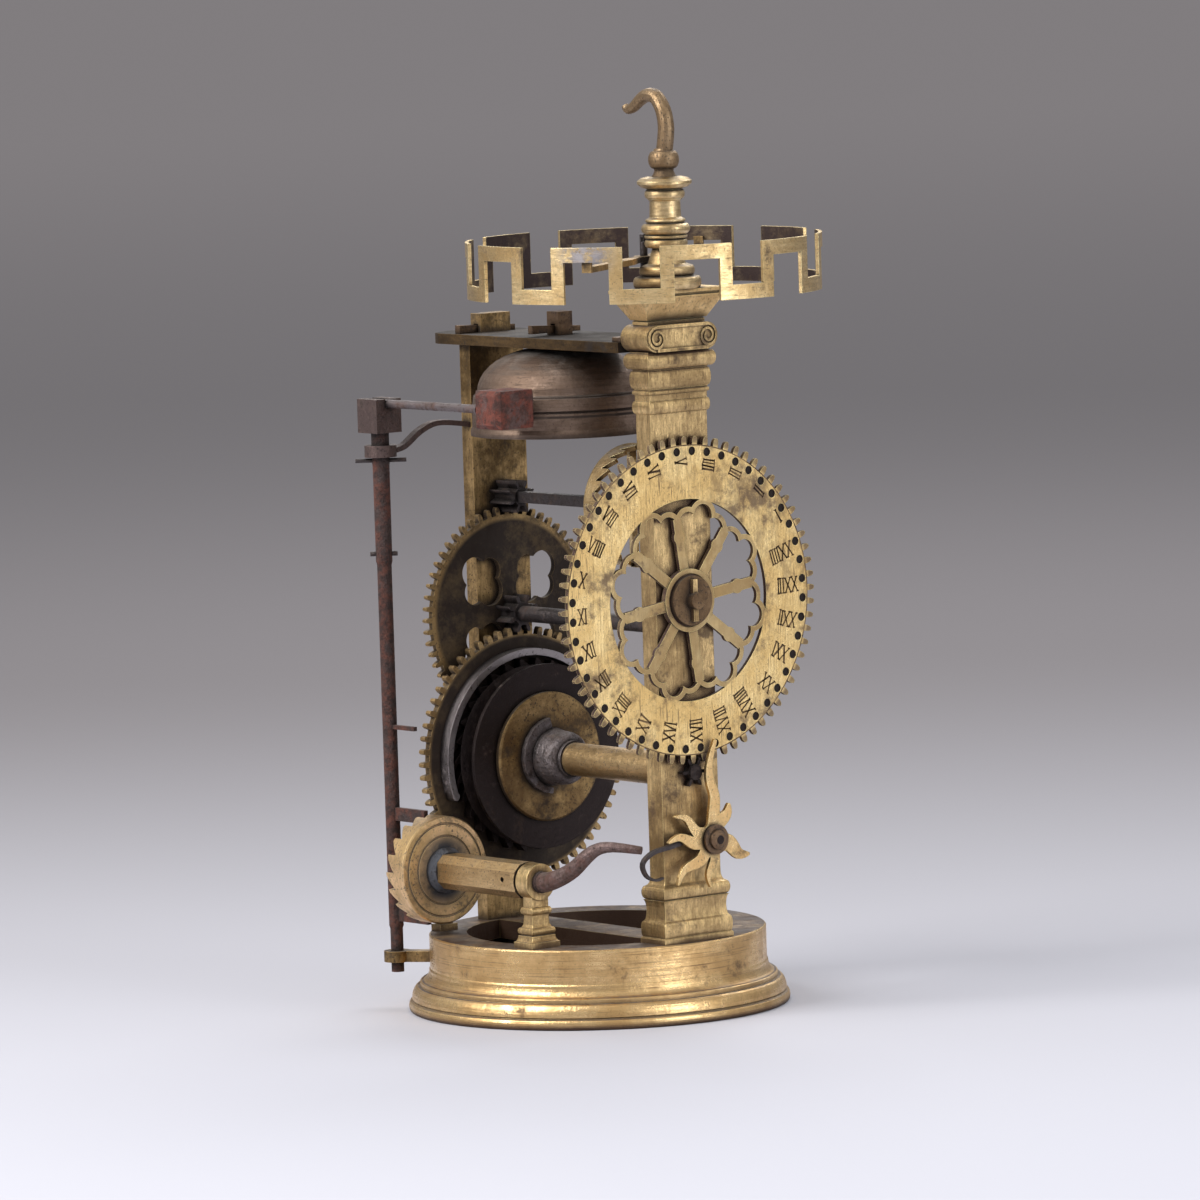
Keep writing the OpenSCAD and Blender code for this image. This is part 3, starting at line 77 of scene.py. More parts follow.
# Light: three softboxes, with their places in metres to the right, towards the camera and up
KEY_PLACE = -0.80 * TO_THE_RIGHT + 0.42 * TOWARDS_CAMERA + 0.85 * UP
KEY_SIZE = (0.55, 0.8)
KEY_POWER = 14.0
FILL_PLACE = 0.95 * TO_THE_RIGHT + 0.75 * TOWARDS_CAMERA + 0.35 * UP
FILL_SIZE = (0.5, 0.9)
FILL_POWER = 5.5
BACK_PLACE = 0.25 * TO_THE_RIGHT - 0.9 * TOWARDS_CAMERA + 0.9 * UP
BACK_SIZE = (0.9, 0.4)
BACK_POWER = 6.0
WARM_WHITE = (1.0, 0.985, 0.96)
COOL_WHITE = (0.95, 0.975, 1.0)
WHITE = (1.0, 1.0, 1.0)
# The grey of the room by how far up one looks, from -1 straight down to 1 straight up
ROOM_DARK = (0.21, 0.205, 0.205, 1.0)
ROOM_LIGHT = (0.80, 0.81, 0.83, 1.0)
DARK_UNTIL, LIGHT_FROM = -0.1, 0.9


def softbox(name, place, size, power, colour):
    data = bpy.data.lights.new(name, "AREA")
    data.shape = "RECTANGLE"
    data.size, data.size_y = size
    data.energy = power
    data.color = colour
    lamp = bpy.data.objects.new(name, data)
    lamp.location = place
    lamp.rotation_euler = (AIM - place).to_track_quat("-Z", "Y").to_euler()
    bpy.context.scene.collection.objects.link(lamp)


def make_lights():
    softbox("key_softbox", KEY_PLACE, KEY_SIZE, KEY_POWER, WARM_WHITE)
    softbox("fill_softbox", FILL_PLACE, FILL_SIZE, FILL_POWER, COOL_WHITE)
    softbox("back_softbox", BACK_PLACE, BACK_SIZE, BACK_POWER, WHITE)


def make_room():
    """Plain grey surroundings that get lighter upwards."""
    world = bpy.data.worlds.new("studio")
    world.use_nodes = True
    tree = world.node_tree
    tree.nodes.clear()
    sight = tree.nodes.new("ShaderNodeTexCoord")
    split = tree.nodes.new("ShaderNodeSeparateXYZ")
    height = tree.nodes.new("ShaderNodeMapRange")
    height.inputs["From Min"].default_value = DARK_UNTIL
    height.inputs["From Max"].default_value = LIGHT_FROM
    shade = tree.nodes.new("ShaderNodeMix")
    shade.data_type = "RGBA"
    shade.inputs["A"].default_value = ROOM_DARK
    shade.inputs["B"].default_value = ROOM_LIGHT
    light = tree.nodes.new("ShaderNodeBackground")
    out = tree.nodes.new("ShaderNodeOutputWorld")
    tree.links.new(sight.outputs["Generated"], split.inputs[0])
    tree.links.new(split.outputs["Z"], height.inputs["Value"])
    tree.links.new(height.outputs[0], shade.inputs["Factor"])
    tree.links.new(shade.outputs["Result"], light.inputs["Color"])
    tree.links.new(light.outputs[0], out.inputs["Surface"])
    bpy.context.scene.world = world
    bpy.context.scene.view_settings.view_transform = "Standard"


class Look:
    """A material being made: its node tree, with short ways to add and join nodes. Its places are object
    coordinates, which are the clock's own on every piece, as all pieces are drawn where they rest."""

    def __init__(self, name):
        self.material = bpy.data.materials.new(name)
        self.material.use_nodes = True
        self.tree = self.material.node_tree
        self.tree.nodes.clear()
        self.place = self.add("ShaderNodeTexCoord").outputs["Object"]

    def add(self, kind, **values):
        node = self.tree.nodes.new(kind)
        for key, value in values.items():
            setattr(node, key, value)
        return node

    def join(self, value, socket):
        """Joins an output to a socket, or writes a plain value on it."""
        if isinstance(value, bpy.types.NodeSocket):
            self.tree.links.new(value, socket)
        else:
            socket.default_value = value

    def noise(self, scale, detail=4.0, rough=0.6, shift=0.0):
        """Cloudy noise from 0 to 1 with scale features a metre, or (x, y, z) of them."""
        if isinstance(scale, (int, float)):
            scale = (scale, scale, scale)
        mapping = self.add("ShaderNodeMapping")
        self.join(self.place, mapping.inputs["Vector"])
        mapping.inputs["Scale"].default_value = scale
        mapping.inputs["Location"].default_value = (shift, 0.7 * shift, 1.3 * shift)
        node = self.add("ShaderNodeTexNoise")
        self.join(mapping.outputs[0], node.inputs["Vector"])
        node.inputs["Scale"].default_value = 1.0
        node.inputs["Detail"].default_value = detail
        node.inputs["Roughness"].default_value = rough
        return node.outputs["Fac"]

    def ranged(self, value, low, high, to_low=0.0, to_high=1.0):
        """Value from low..high to to_low..to_high, held at both ends."""
        node = self.add("ShaderNodeMapRange", interpolation_type="SMOOTHSTEP")
        self.join(value, node.inputs["Value"])
        for key, number in (("From Min", low), ("From Max", high), ("To Min", to_low), ("To Max", to_high)):
            node.inputs[key].default_value = number
        return node.outputs[0]

    def maths(self, operation, a, b=0.0, free=False):
        """a and b joined by the operation and held from 0 to 1, unless free."""
        node = self.add("ShaderNodeMath", operation=operation, use_clamp=not free)
        self.join(a, node.inputs[0])
        self.join(b, node.inputs[1])
        return node.outputs[0]

    def times(self, a, b):
        return self.maths("MULTIPLY", a, b)

    def most(self, a, b):
        return self.maths("MAXIMUM", a, b)

    def vector(self, operation, a, b=(0.0, 0.0, 0.0)):
        """a and b joined by the operation: a number where it measures, and otherwise a vector."""
        node = self.add("ShaderNodeVectorMath", operation=operation)
        self.join(a, node.inputs[0])
        self.join(b, node.inputs[1])
        return node.outputs["Value" if operation in ("DOT_PRODUCT", "LENGTH", "DISTANCE") else "Vector"]

    def mixed(self, share, a, b):
        """Colour a where share is 0 and b where it is 1."""
        node = self.add("ShaderNodeMix", data_type="RGBA")
        self.join(share, node.inputs["Factor"])
        for value, socket in ((a, node.inputs["A"]), (b, node.inputs["B"])):
            if isinstance(value, tuple):
                value = (*value, 1.0)
            self.join(value, socket)
        return node.outputs["Result"]

    def along(self, axis):
        """Object coordinate along axis 0, 1 or 2."""
        split = self.add("ShaderNodeSeparateXYZ")
        self.join(self.place, split.inputs[0])
        return split.outputs[axis]

    def hollows(self, reach):
        """Grime and painted shade: 1 in corners and hollows within reach of another surface, 0 on open faces.
        """
        node = self.add("ShaderNodeAmbientOcclusion", samples=6)
        node.inputs["Distance"].default_value = reach
        return self.ranged(node.outputs["AO"], 0.50, 0.97, 1.0, 0.0)

    def edges(self, radius):
        """(rounded normal, 1 along sharp outer edges)"""
        soft = self.add("ShaderNodeBevel", samples=4)
        soft.inputs["Radius"].default_value = radius
        flat = self.add("ShaderNodeNewGeometry")
        same = self.vector("DOT_PRODUCT", soft.outputs[0], flat.outputs["Normal"])
        return soft.outputs[0], self.ranged(same, 0.80, 0.995, 1.0, 0.0)

    def facing(self, axis, low, high):
        """0 to 1 as the cosine between the normal and axis, in object coordinates, goes from low to high."""
        normal = self.add("ShaderNodeTexCoord").outputs["Normal"]
        return self.ranged(self.vector("DOT_PRODUCT", normal, axis), low, high)

    def upward(self):
        """1 on faces that look up."""
        return self.facing((0.0, 0.0, 1.0), 0.8, 0.97)

    def inward(self, centre):
        """1 on faces that look towards the upright line through centre."""
        back = self.vector("MULTIPLY", self.vector("SUBTRACT", self.place, centre), (-1.0, -1.0, 0.0))
        return self.facing(self.vector("NORMALIZE", back), 0.3, 0.7)

    def from_axis(self, axis):
        """Distance from the line along Y through axis."""
        off = self.vector("SUBTRACT", self.place, axis)
        return self.vector("LENGTH", self.vector("MULTIPLY", off, (1.0, 0.0, 1.0)))

    def bumped(self, height, strength, depth, normal):
        node = self.add("ShaderNodeBump")
        self.join(height, node.inputs["Height"])
        self.join(normal, node.inputs["Normal"])
        node.inputs["Strength"].default_value = strength
        node.inputs["Distance"].default_value = depth
        return node.outputs[0]

    def finish(self, colour, metallic, roughness, normal):
        shader = self.add("ShaderNodeBsdfPrincipled")
        self.join(colour, shader.inputs["Base Color"])
        self.join(metallic, shader.inputs["Metallic"])
        self.join(roughness, shader.inputs["Roughness"])
        self.join(normal, shader.inputs["Normal"])
        out = self.add("ShaderNodeOutputMaterial")
        self.join(shader.outputs[0], out.inputs["Surface"])
        return self.material


# Colours of the metals and of what lies on them
BRASS_MID = (0.50, 0.345, 0.165)
BRASS_DULL = (0.31, 0.205, 0.095)
BRASS_DARK = (0.130, 0.082, 0.036)
PURPLE_BROWN = (0.080, 0.043, 0.036)
GRIME = (0.030, 0.019, 0.013)
WARM_GRIME = (0.060, 0.030, 0.017)
RUST_BROWN = (0.062, 0.034, 0.024)
RUST_DARK = (0.030, 0.019, 0.016)
# Soot and painted shade for the iron's hollows:
SOOT_AND_SHADE = (0.012, 0.010, 0.009)
DUST = (0.17, 0.155, 0.14)
SOLDER_GREY = (0.36, 0.33, 0.33)
BLUE_PATINA = (0.085, 0.090, 0.105)

# How fine the marks on the metals are, as features a metre
CLOUDS = 75
BLOTS = 90
WEAR = 110
SPECKS = 2100
SPECK_GROUPS = 110
BRASS_DENTS = 480
DUST_PATCHES = 200
RUST_CLOUDS = 170
RUST_TONES = 420
IRON_GRAIN = 1000
IRON_DENTS = 300
# How much finer than the brushing the marks along it are
STREAK_TIMES = 4
BRUSH_TIMES = 8
SCRATCH_TIMES = 9
# Depths of the marks, and how far from a corner the grime and painted shade reach, in metres
BRUSH_DEPTH = 0.00014
BRASS_DENT_DEPTH = 0.0005
IRON_GRAIN_DEPTH = 0.00018
IRON_DENT_DEPTH = 0.0006
BRASS_GRIME_AND_SHADE_REACH = 0.0028
IRON_GRIME_AND_SHADE_REACH = 0.0018
IRON_BEVEL = 0.00015


def scaled(colour, times, more=0.0):
    return tuple(min(1.0, times * part + more) for part in colour)


def dusted(look, colour, dark, amount, shift):
    """The colour and the share of dark, with thin grey dust added on the faces that look up."""
    top = look.facing((0.0, 0.0, 1.0), 0.55, 0.95)
    patch = look.ranged(look.noise(DUST_PATCHES, 6, 0.7, shift), 0.36, 0.62)
    share = look.times(look.times(top, patch), amount)
    return look.mixed(share, colour, DUST), look.most(dark, share)


def old_brass(name, face, dull, stain, stained=0.5, rough=0.36, brushed=(260, 260, 30), shade=None, shift=0.0,
        dust=0.45, specks=0.8, bevel=0.00018, patch=None, worn_through=0.6):
    """Worn brass: two tones in clouds, dark stains and specks, grime and painted shade in the hollows and
    fine brush marks. shade(look) gives a share of faces that are as dark as the stains but for worn spots,
    down to the share worn_through of it; on some pieces this share is painted shade. patch(look) gives a
    share of grey solder."""
    look = Look(name)

    def brush_noise(times, detail, grit, step):
        return look.noise(tuple(times * scale for scale in brushed), detail, grit, shift + step)

    cloud = look.ranged(look.noise(CLOUDS, 7, 0.7, shift), 0.36, 0.64)
    colour = look.mixed(cloud, face, dull)
    streak = look.ranged(brush_noise(STREAK_TIMES, 5, 0.8, 3), 0.40, 0.62)
    colour = look.mixed(look.times(streak, 0.55), colour, dull)
    blot = look.noise(BLOTS, 8, 0.75, shift + 7)
    blot = look.ranged(blot, 0.66 - 0.20 * stained, 0.76 - 0.14 * stained)
    speck = look.ranged(look.noise(SPECKS, 2, 0.5, shift + 5), 0.60, 0.67)
    group = look.ranged(look.noise(SPECK_GROUPS, 4, 0.6, shift + 9), 0.36, 0.54, 0.15, 1.0)
    speck = look.times(look.times(speck, group), specks)
    scratch = look.ranged(brush_noise(SCRATCH_TIMES, 3, 0.6, 11), 0.56, 0.68)
    scratch = look.times(look.times(scratch, look.ranged(cloud, 0.0, 1.0, 0.35, 0.85)), 0.7)
    dark = look.most(look.most(look.times(blot, 0.8), speck), scratch)
    if shade:
        worn = look.ranged(look.noise(WEAR, 8, 0.75, shift + 2), 0.32, 0.54, worn_through, 1.0)
        dark = look.most(dark, look.times(shade(look), worn))
    # Grime and painted shade in corners and hollows, in the stain colour.
    dark = look.most(dark, look.hollows(BRASS_GRIME_AND_SHADE_REACH))
    normal, edge = look.edges(bevel)
    dark = look.maths("SUBTRACT", dark, look.times(edge, 0.55))
    colour = look.mixed(look.times(edge, 0.6), colour, scaled(face, 1.25))
    colour = look.mixed(dark, colour, stain)
    if patch:
        colour = look.mixed(patch(look), colour, SOLDER_GREY)
    colour, dark = dusted(look, colour, dark, dust, shift + 6)
    roughness = look.maths("ADD", look.ranged(cloud, 0.0, 1.0, rough, rough + 0.14), look.times(dark, 0.3))
    metallic = look.ranged(dark, 0.0, 1.0, 1.0, 0.35)
    normal = look.bumped(brush_noise(BRUSH_TIMES, 3, 0.6, 1), 0.40, BRUSH_DEPTH, normal)
    normal = look.bumped(look.noise(BRASS_DENTS, 6, 0.7, shift + 4), 0.35, BRASS_DENT_DEPTH, normal)
    return look.finish(colour, metallic, roughness, normal)


def old_iron(name, metal, rust, scale, rusted, rough=0.5, metal_share=0.85, shift=0.0, tint=None, pitted=1.0):
    """Iron with rust in clouds and specks and a pitted surface.
    tint(look) gives a share of faces that have a blue-grey patina."""
    look = Look(name)
    grain = look.noise(IRON_GRAIN, 5, 0.75, shift)
    cloud = look.noise(RUST_CLOUDS, 7, 0.75, shift + 2)
    cloud = look.ranged(cloud, 0.66 - 0.4 * rusted, 0.76 - 0.3 * rusted)
    share = look.most(cloud, look.times(look.ranged(grain, 0.58 - 0.12 * rusted, 0.68), 0.8))
    tone = look.ranged(look.noise(RUST_TONES, 5, 0.7, shift + 6), 0.38, 0.62)
    colour = look.mixed(share, metal, look.mixed(tone, rust, scale))
    if tint:
        colour = look.mixed(tint(look), colour, BLUE_PATINA)
    pits = look.ranged(grain, 0.56, 0.66)
    colour = look.mixed(look.times(pits, 0.75), colour, scaled(scale, 0.3))
    normal, edge = look.edges(IRON_BEVEL)
    colour = look.mixed(look.times(edge, 0.35), colour, scaled(metal, 1.6, 0.03))
    # Soot and painted shade in corners and hollows.
    colour = look.mixed(look.times(look.hollows(IRON_GRIME_AND_SHADE_REACH), 0.85), colour, SOOT_AND_SHADE)
    colour, share = dusted(look, colour, share, 0.25, shift + 4)
    metallic = look.ranged(share, 0.0, 1.0, metal_share, 0.05)
    roughness = look.ranged(share, 0.0, 1.0, rough, 0.85)
    normal = look.bumped(grain, 0.45 + 0.45 * rusted, IRON_GRAIN_DEPTH * pitted, normal)
    dents = look.noise(IRON_DENTS, 5, 0.7, shift + 8)
    normal = look.bumped(dents, 0.35 + 0.45 * rusted, IRON_DENT_DEPTH * pitted, normal)
    return look.finish(colour, metallic, roughness, normal)


# Where the looks of single pieces change: the axes that they turn on, and places and radii in metres
AXES = {joint["name"]: tuple(joint["pos_m"]) for joint in frame["record"]["behaviour"]["joints"]}
DIAL_AXIS = AXES["dial_turn"]
FOOT_AXIS = (0.0, 0.0, 0.0)
BELL_AXIS = (0.0, 0.0063, 0.0)
SOLDER = (-0.0317, -0.0420, 0.1617)
SOLDER_REACH = 0.0075
SOLDER_MARKS = 500
FOOT_OPENING = 0.0277
FOOT_FADE = 0.0002
DIAL_FACE_OUTER = 0.0321
DIAL_FACE_INNER = 0.0213
TRACERY_FADE = 0.0006
BLOTCHES = (260, 260, 130)
BLOTCHES_FROM, BLOTCHES_TO = 0.012, 0.040
GREAT_CLEAN_FROM = 0.0260
SECOND_CLEAN_FROM = 0.0206
TEETH_FADE = 0.0012
PATINA_FROM, PATINA_TO = 0.0050, 0.0092
COLLAR_LENGTH = 0.0024
COLLAR_FADE = 0.0004
COLLAR_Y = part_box("alarm_wheel")[0].y - COLLAR_LENGTH
BELL_RIM_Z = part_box("bell")[0].z
BELL_LIP = 0.0016
BELL_GROOVES = [BELL_RIM_Z + up for up in (0.0045, 0.0054, 0.0086)]
GROOVE_DARK, GROOVE_FADED = 0.00015, 0.0004


def crown_shade(look):
    """The crown's inner side is dark: painted shade."""
    return look.inward(AXES["verge_swing"])


def solder(look):
    """A grey patch on the crown where its bar is soldered behind it."""
    near = look.ranged(look.vector("DISTANCE", look.place, SOLDER), SOLDER_REACH / 3, SOLDER_REACH, 1.0, 0.0)
    return look.times(near, look.ranged(look.noise(SOLDER_MARKS, 5, 0.7, 6.0), 0.36, 0.56))


def foot_shade(look):
    """The flange's top is dark, and the bar's sides and the walls inside the foot are darker still, as
    painted shade.
    """
    top = look.upward()
    radius = look.vector("LENGTH", look.vector("MULTIPLY", look.place, (1.0, 1.0, 0.0)))
    within = look.ranged(radius, FOOT_OPENING, FOOT_OPENING + FOOT_FADE, 1.0, 0.0)
    # Painted shade on the walls inside the foot and on the bar's sides.
    walls = look.most(look.maths("SUBTRACT", within, top), look.inward(FOOT_AXIS))
    return look.maths("MAXIMUM", top, look.maths("MULTIPLY", walls, 1.8, free=True), free=True)


def disc_shade(look, axis, clean_from):
    """Dark over the disc about the axis, with its rim and teeth from the radius clean_from left bright."""
    return look.ranged(look.from_axis(axis), clean_from - TEETH_FADE, clean_from, 1.0, 0.0)


def great_shade(look):
    return disc_shade(look, AXES["great_turn"], GREAT_CLEAN_FROM)


# The second wheel's disc is dark with patina and with painted shade; its teeth stay bright.
def second_shade(look):
    return disc_shade(look, AXES["second_turn"], SECOND_CLEAN_FROM)


def alarm_shade(look):
    """Grey patina that fades from the collar out."""
    return look.ranged(look.from_axis(AXES["alarm_turn"]), PATINA_FROM, PATINA_TO, 1.0, 0.0)


def collar(look):
    """1 on the collar before the alarm wheel and on the arbor behind it."""
    return look.ranged(look.along(1), COLLAR_Y - COLLAR_FADE, COLLAR_Y)


def bell_shade(look):
    """Darker along the turned grooves, as grime with painted shade, and towards the lip's edge; the inside of
    the bell is painted shade.
    """
    height = look.along(2)
    dark = look.ranged(height, BELL_RIM_Z, BELL_RIM_Z + BELL_LIP, 0.8, 0.0)
    # Dark lines along the turned grooves: grime and painted shade.
    for groove in BELL_GROOVES:
        off = look.maths("ABSOLUTE", look.maths("SUBTRACT", height, groove, free=True))
        dark = look.most(dark, look.ranged(off, GROOVE_DARK, GROOVE_FADED, 1.0, 0.0))
    # Painted shade inside the bell.
    return look.most(dark, look.inward(BELL_AXIS))


def dial_shade(look):
    """The back, the edges, the teeth and the tracery are darker than the numeral ring, which has blotches on
    its upper right."""
    radius = look.from_axis(DIAL_AXIS)
    teeth = look.ranged(radius, DIAL_FACE_OUTER, DIAL_FACE_OUTER + TEETH_FADE, 0.0, 0.8)
    tracery = look.ranged(radius, DIAL_FACE_INNER - TRACERY_FADE, DIAL_FACE_INNER, 0.52, 0.0)
    side = look.maths("ADD", look.along(0), look.along(2), free=True)
    side = look.ranged(side, DIAL_AXIS[2] + BLOTCHES_FROM, DIAL_AXIS[2] + BLOTCHES_TO)
    blotch = look.ranged(look.noise(BLOTCHES, 7, 0.75, 4.4), 0.44, 0.62, 0.0, 0.6)
    front = look.most(look.times(side, blotch), look.most(teeth, tracery))
    return look.most(front, look.facing((0.0, 1.0, 0.0), -0.75, -0.3))


def make_looks():
    """Every finish of the clock by name."""
    looks = {}

    def brass(name, **finish):
        looks[name] = old_brass(name, **finish)

    def iron(name, **finish):
        looks[name] = old_iron(name, **finish)

    brass("dial_brass", face=(0.97, 0.73, 0.35), dull=(0.74, 0.51, 0.21), stain=PURPLE_BROWN, stained=0.92,
        rough=0.35, brushed=(300, 300, 20), shade=dial_shade, shift=1.3, dust=0.3, specks=0.35, bevel=0.0003,
        worn_through=0.75)
    brass("crown_brass", face=(1.0, 0.76, 0.40), dull=(0.56, 0.38, 0.17), stain=(0.038, 0.021, 0.018),
        stained=0.72, rough=0.30, brushed=(40, 40, 260), shade=crown_shade, shift=2.0, dust=0.3, specks=0.4,
        patch=solder, worn_through=0.8)
    brass("frame_brass", face=(0.92, 0.655, 0.31), dull=BRASS_DULL, stain=WARM_GRIME, stained=0.66,
        rough=0.30, shift=3.0, specks=0.35)
    # A lighter copy of the frame brass: painted light, making up for the impost rendering dark under the
    # crown.
    brass("impost_brass", face=(0.98, 0.72, 0.37), dull=(0.62, 0.42, 0.19), stain=GRIME, stained=0.56,
        rough=0.42, shift=3.3, specks=0.35)
    brass("turned_brass", face=(1.0, 0.76, 0.42), dull=(0.40, 0.27, 0.125), stain=GRIME, stained=0.58,
        rough=0.29, brushed=(30, 30, 300), shift=4.0, dust=0.7, specks=0.4)
    brass("hook_brass", face=(0.40, 0.285, 0.17), dull=(0.235, 0.155, 0.085), stain=GRIME, stained=0.45,
        rough=0.40, brushed=(120, 120, 60), shift=4.5, dust=0.6)
    brass("foot_brass", face=(0.96, 0.67, 0.33), dull=(0.57, 0.36, 0.155), stain=WARM_GRIME, stained=0.48,
        rough=0.23, brushed=(5, 5, 330), shade=foot_shade, shift=5.0, specks=0.25, worn_through=0.65)
    brass("plate_brass", face=(0.20, 0.125, 0.055), dull=(0.06, 0.040, 0.024), stain=(0.018, 0.012, 0.009),
        stained=0.75, rough=0.40, brushed=(200, 40, 200), shade=Look.upward, shift=6.0, dust=0.22,
        worn_through=0.8)
    # A darker copy of the brass for the pieces at the back: painted shade.
    brass("rear_brass", face=(0.62, 0.415, 0.185), dull=BRASS_DARK, stain=GRIME, stained=0.75, rough=0.40,
        brushed=(200, 200, 40), shift=6.5)
    brass("great_brass", face=(0.52, 0.36, 0.17), dull=BRASS_DULL, stain=GRIME, stained=0.70, rough=0.36,
        brushed=(150, 150, 150), shade=great_shade, shift=7.0, worn_through=0.85)
    brass("second_brass", face=(0.42, 0.29, 0.13), dull=BRASS_DULL, stain=GRIME, stained=0.80, rough=0.40,
        brushed=(150, 150, 150), shade=second_shade, shift=7.2, worn_through=0.75)
    brass("pulley_brass", face=(0.42, 0.28, 0.12), dull=(0.17, 0.105, 0.048), stain=GRIME, stained=0.80,
        rough=0.34, brushed=(120, 120, 120), shift=7.5)
    brass("washer_brass", face=(0.24, 0.155, 0.085), dull=(0.13, 0.080, 0.045), stain=GRIME, stained=0.65,
        rough=0.40, brushed=(120, 120, 120), shift=7.8)
    brass("barrel_brass", face=(0.70, 0.49, 0.25), dull=(0.42, 0.28, 0.135), stain=GRIME, stained=0.35,
        rough=0.34, brushed=(300, 30, 300), shift=7.9)
    brass("alarm_brass", face=(0.88, 0.60, 0.33), dull=BRASS_MID, stain=(0.050, 0.048, 0.052), stained=0.50,
        rough=0.34, brushed=(60, 200, 60), shade=alarm_shade, shift=8.0)
    brass("star_brass", face=(1.0, 0.73, 0.36), dull=(0.74, 0.47, 0.20), stain=GRIME, stained=0.50,
        rough=0.25, brushed=(200, 200, 200), shift=8.5, dust=0.3, specks=0.3, bevel=0.0003)
    brass("bell_bronze", face=(0.30, 0.215, 0.165), dull=(0.165, 0.112, 0.082), stain=(0.05, 0.034, 0.026),
        stained=0.55, rough=0.42, brushed=(25, 25, 420), shade=bell_shade, shift=9.0, dust=0.6, specks=0.4)

    iron("dark_iron", metal=(0.030, 0.022, 0.021), rust=RUST_BROWN, scale=RUST_DARK, rusted=0.30,
        rough=0.40, metal_share=0.9, shift=1.0)
    iron("grey_iron", metal=(0.18, 0.155, 0.155), rust=(0.095, 0.062, 0.052), scale=RUST_DARK, rusted=0.55,
        rough=0.44, metal_share=0.8, shift=2.0, pitted=2.0)
    iron("shaft_iron", metal=(0.075, 0.064, 0.064), rust=RUST_BROWN, scale=RUST_DARK, rusted=0.50,
        rough=0.42, metal_share=0.85, shift=2.2)
    iron("brown_metal", metal=(0.19, 0.120, 0.072), rust=(0.085, 0.046, 0.029), scale=RUST_DARK, rusted=0.45,
        rough=0.42, metal_share=0.9, shift=2.5)
    iron("pale_iron", metal=(0.36, 0.325, 0.33), rust=(0.16, 0.12, 0.11), scale=RUST_DARK, rusted=0.20,
        rough=0.38, metal_share=1.0, shift=3.0)
    iron("arm_iron", metal=(0.18, 0.125, 0.115), rust=(0.115, 0.055, 0.043), scale=RUST_BROWN, rusted=0.60,
        rough=0.42, metal_share=0.8, shift=3.5, tint=collar, pitted=1.8)
    iron("hammer_iron", metal=(0.175, 0.145, 0.145), rust=(0.11, 0.065, 0.055), scale=RUST_BROWN,
        rusted=0.45, rough=0.44, metal_share=0.8, shift=3.6)
    iron("cock_iron", metal=(0.125, 0.088, 0.080), rust=(0.080, 0.045, 0.035), scale=RUST_DARK, rusted=0.50,
        rough=0.44, metal_share=0.85, shift=3.8)
    iron("rod_iron", metal=(0.066, 0.046, 0.042), rust=(0.115, 0.040, 0.026), scale=(0.035, 0.019, 0.016),
        rusted=0.74, rough=0.48, metal_share=0.6, shift=4.0, pitted=2.4)
    iron("red_iron", metal=(0.13, 0.085, 0.078), rust=(0.175, 0.046, 0.029), scale=(0.062, 0.026, 0.020),
        rusted=0.84, rough=0.52, metal_share=0.4, shift=5.0, pitted=2.0)
    return looks


# Which nodes have each finish
NODE_LOOKS = {
    "dial_brass": ["dial"],
    "crown_brass": ["balance_crown"],
    "frame_brass": ["front_column", "front_capital", "alarm_front_cock", "alarm_rear_cock", "dial_key",
        "potence", "verge_foot"],
    "impost_brass": ["impost"],
    "turned_brass": ["finial", "escape_wheel"],
    "hook_brass": ["hook"],
    "foot_brass": ["base_ring"],
    "plate_brass": ["top_plate"],
    "rear_brass": ["back_column", "rod_lower_cock", "balance_bar"],
    "great_brass": ["great_wheel"],
    "second_brass": ["second_wheel"],
    "pulley_brass": ["hub_washer"],
    "washer_brass": ["dial_washer", "dial_stud"],
    "barrel_brass": ["barrel_tube", "alarm_barrel"],
    "alarm_brass": ["alarm_wheel"],
    "star_brass": ["let_off_star"],
    "bell_bronze": ["bell"],
    "dark_iron": ["pulley_cheek", "pulley_drum", "ratchet_wheel", "great_arbor", "column_nuts",
        "let_off_stud", "dial_pinion"],
    "grey_iron": ["great_hub", "hub_key"],
    "shaft_iron": ["second_arbor", "escape_arbor", "verge_staff", "rod_pins", "let_off_hook"],
    "brown_metal": ["column_wedges", "bell_stud", "bell_wedge", "let_off_knob"],
    "pale_iron": ["click_spring"],
    "arm_iron": ["alarm_arbor"],
    "hammer_iron": ["hammer_arm"],
    "cock_iron": ["rod_upper_cock", "hammer_block"],
    "rod_iron": ["hammer_rod"],
    "red_iron": ["hammer_head"],
}


def dress_nodes(looks):
    for look, nodes in NODE_LOOKS.items():
        for name in nodes:
            mesh = frame["nodes"][name].data
            mesh.materials.clear()
            mesh.materials.append(looks[look])


# Engraving on the dial: flat pieces a hair before its face, which lies a little behind its hub
HUB_PROUD = 0.0004
DIAL_FACE_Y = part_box("dial")[0].y + HUB_PROUD
INK_LIFT = 0.00002
NUMERALS = 24
NUMERAL_AT_TOP = 5
NUMERAL_FIRST_DEG = 2.0
NUMERAL_OUTER = 0.0296
LETTER_HEIGHT = 0.0031
LETTER_GAP = 0.00045
SERIF = 0.0006
STROKE = 0.00028
THINNEST, THICKEST = 0.6, 1.2
SERIF_THICKNESS = 0.7
CUTS = 2
WOBBLE = 0.00013
# Each letter's width, and its strokes as (along, up) ends in shares of its width and height
LETTERS = {
    "I": (0.0002, [((0.5, 0.0), (0.5, 1.0))]),
    "V": (0.0013, [((0.0, 1.0), (0.5, 0.0)), ((0.5, 0.0), (1.0, 1.0))]),
    "X": (0.0014, [((0.0, 0.0), (1.0, 1.0)), ((0.0, 1.0), (1.0, 0.0))]),
}


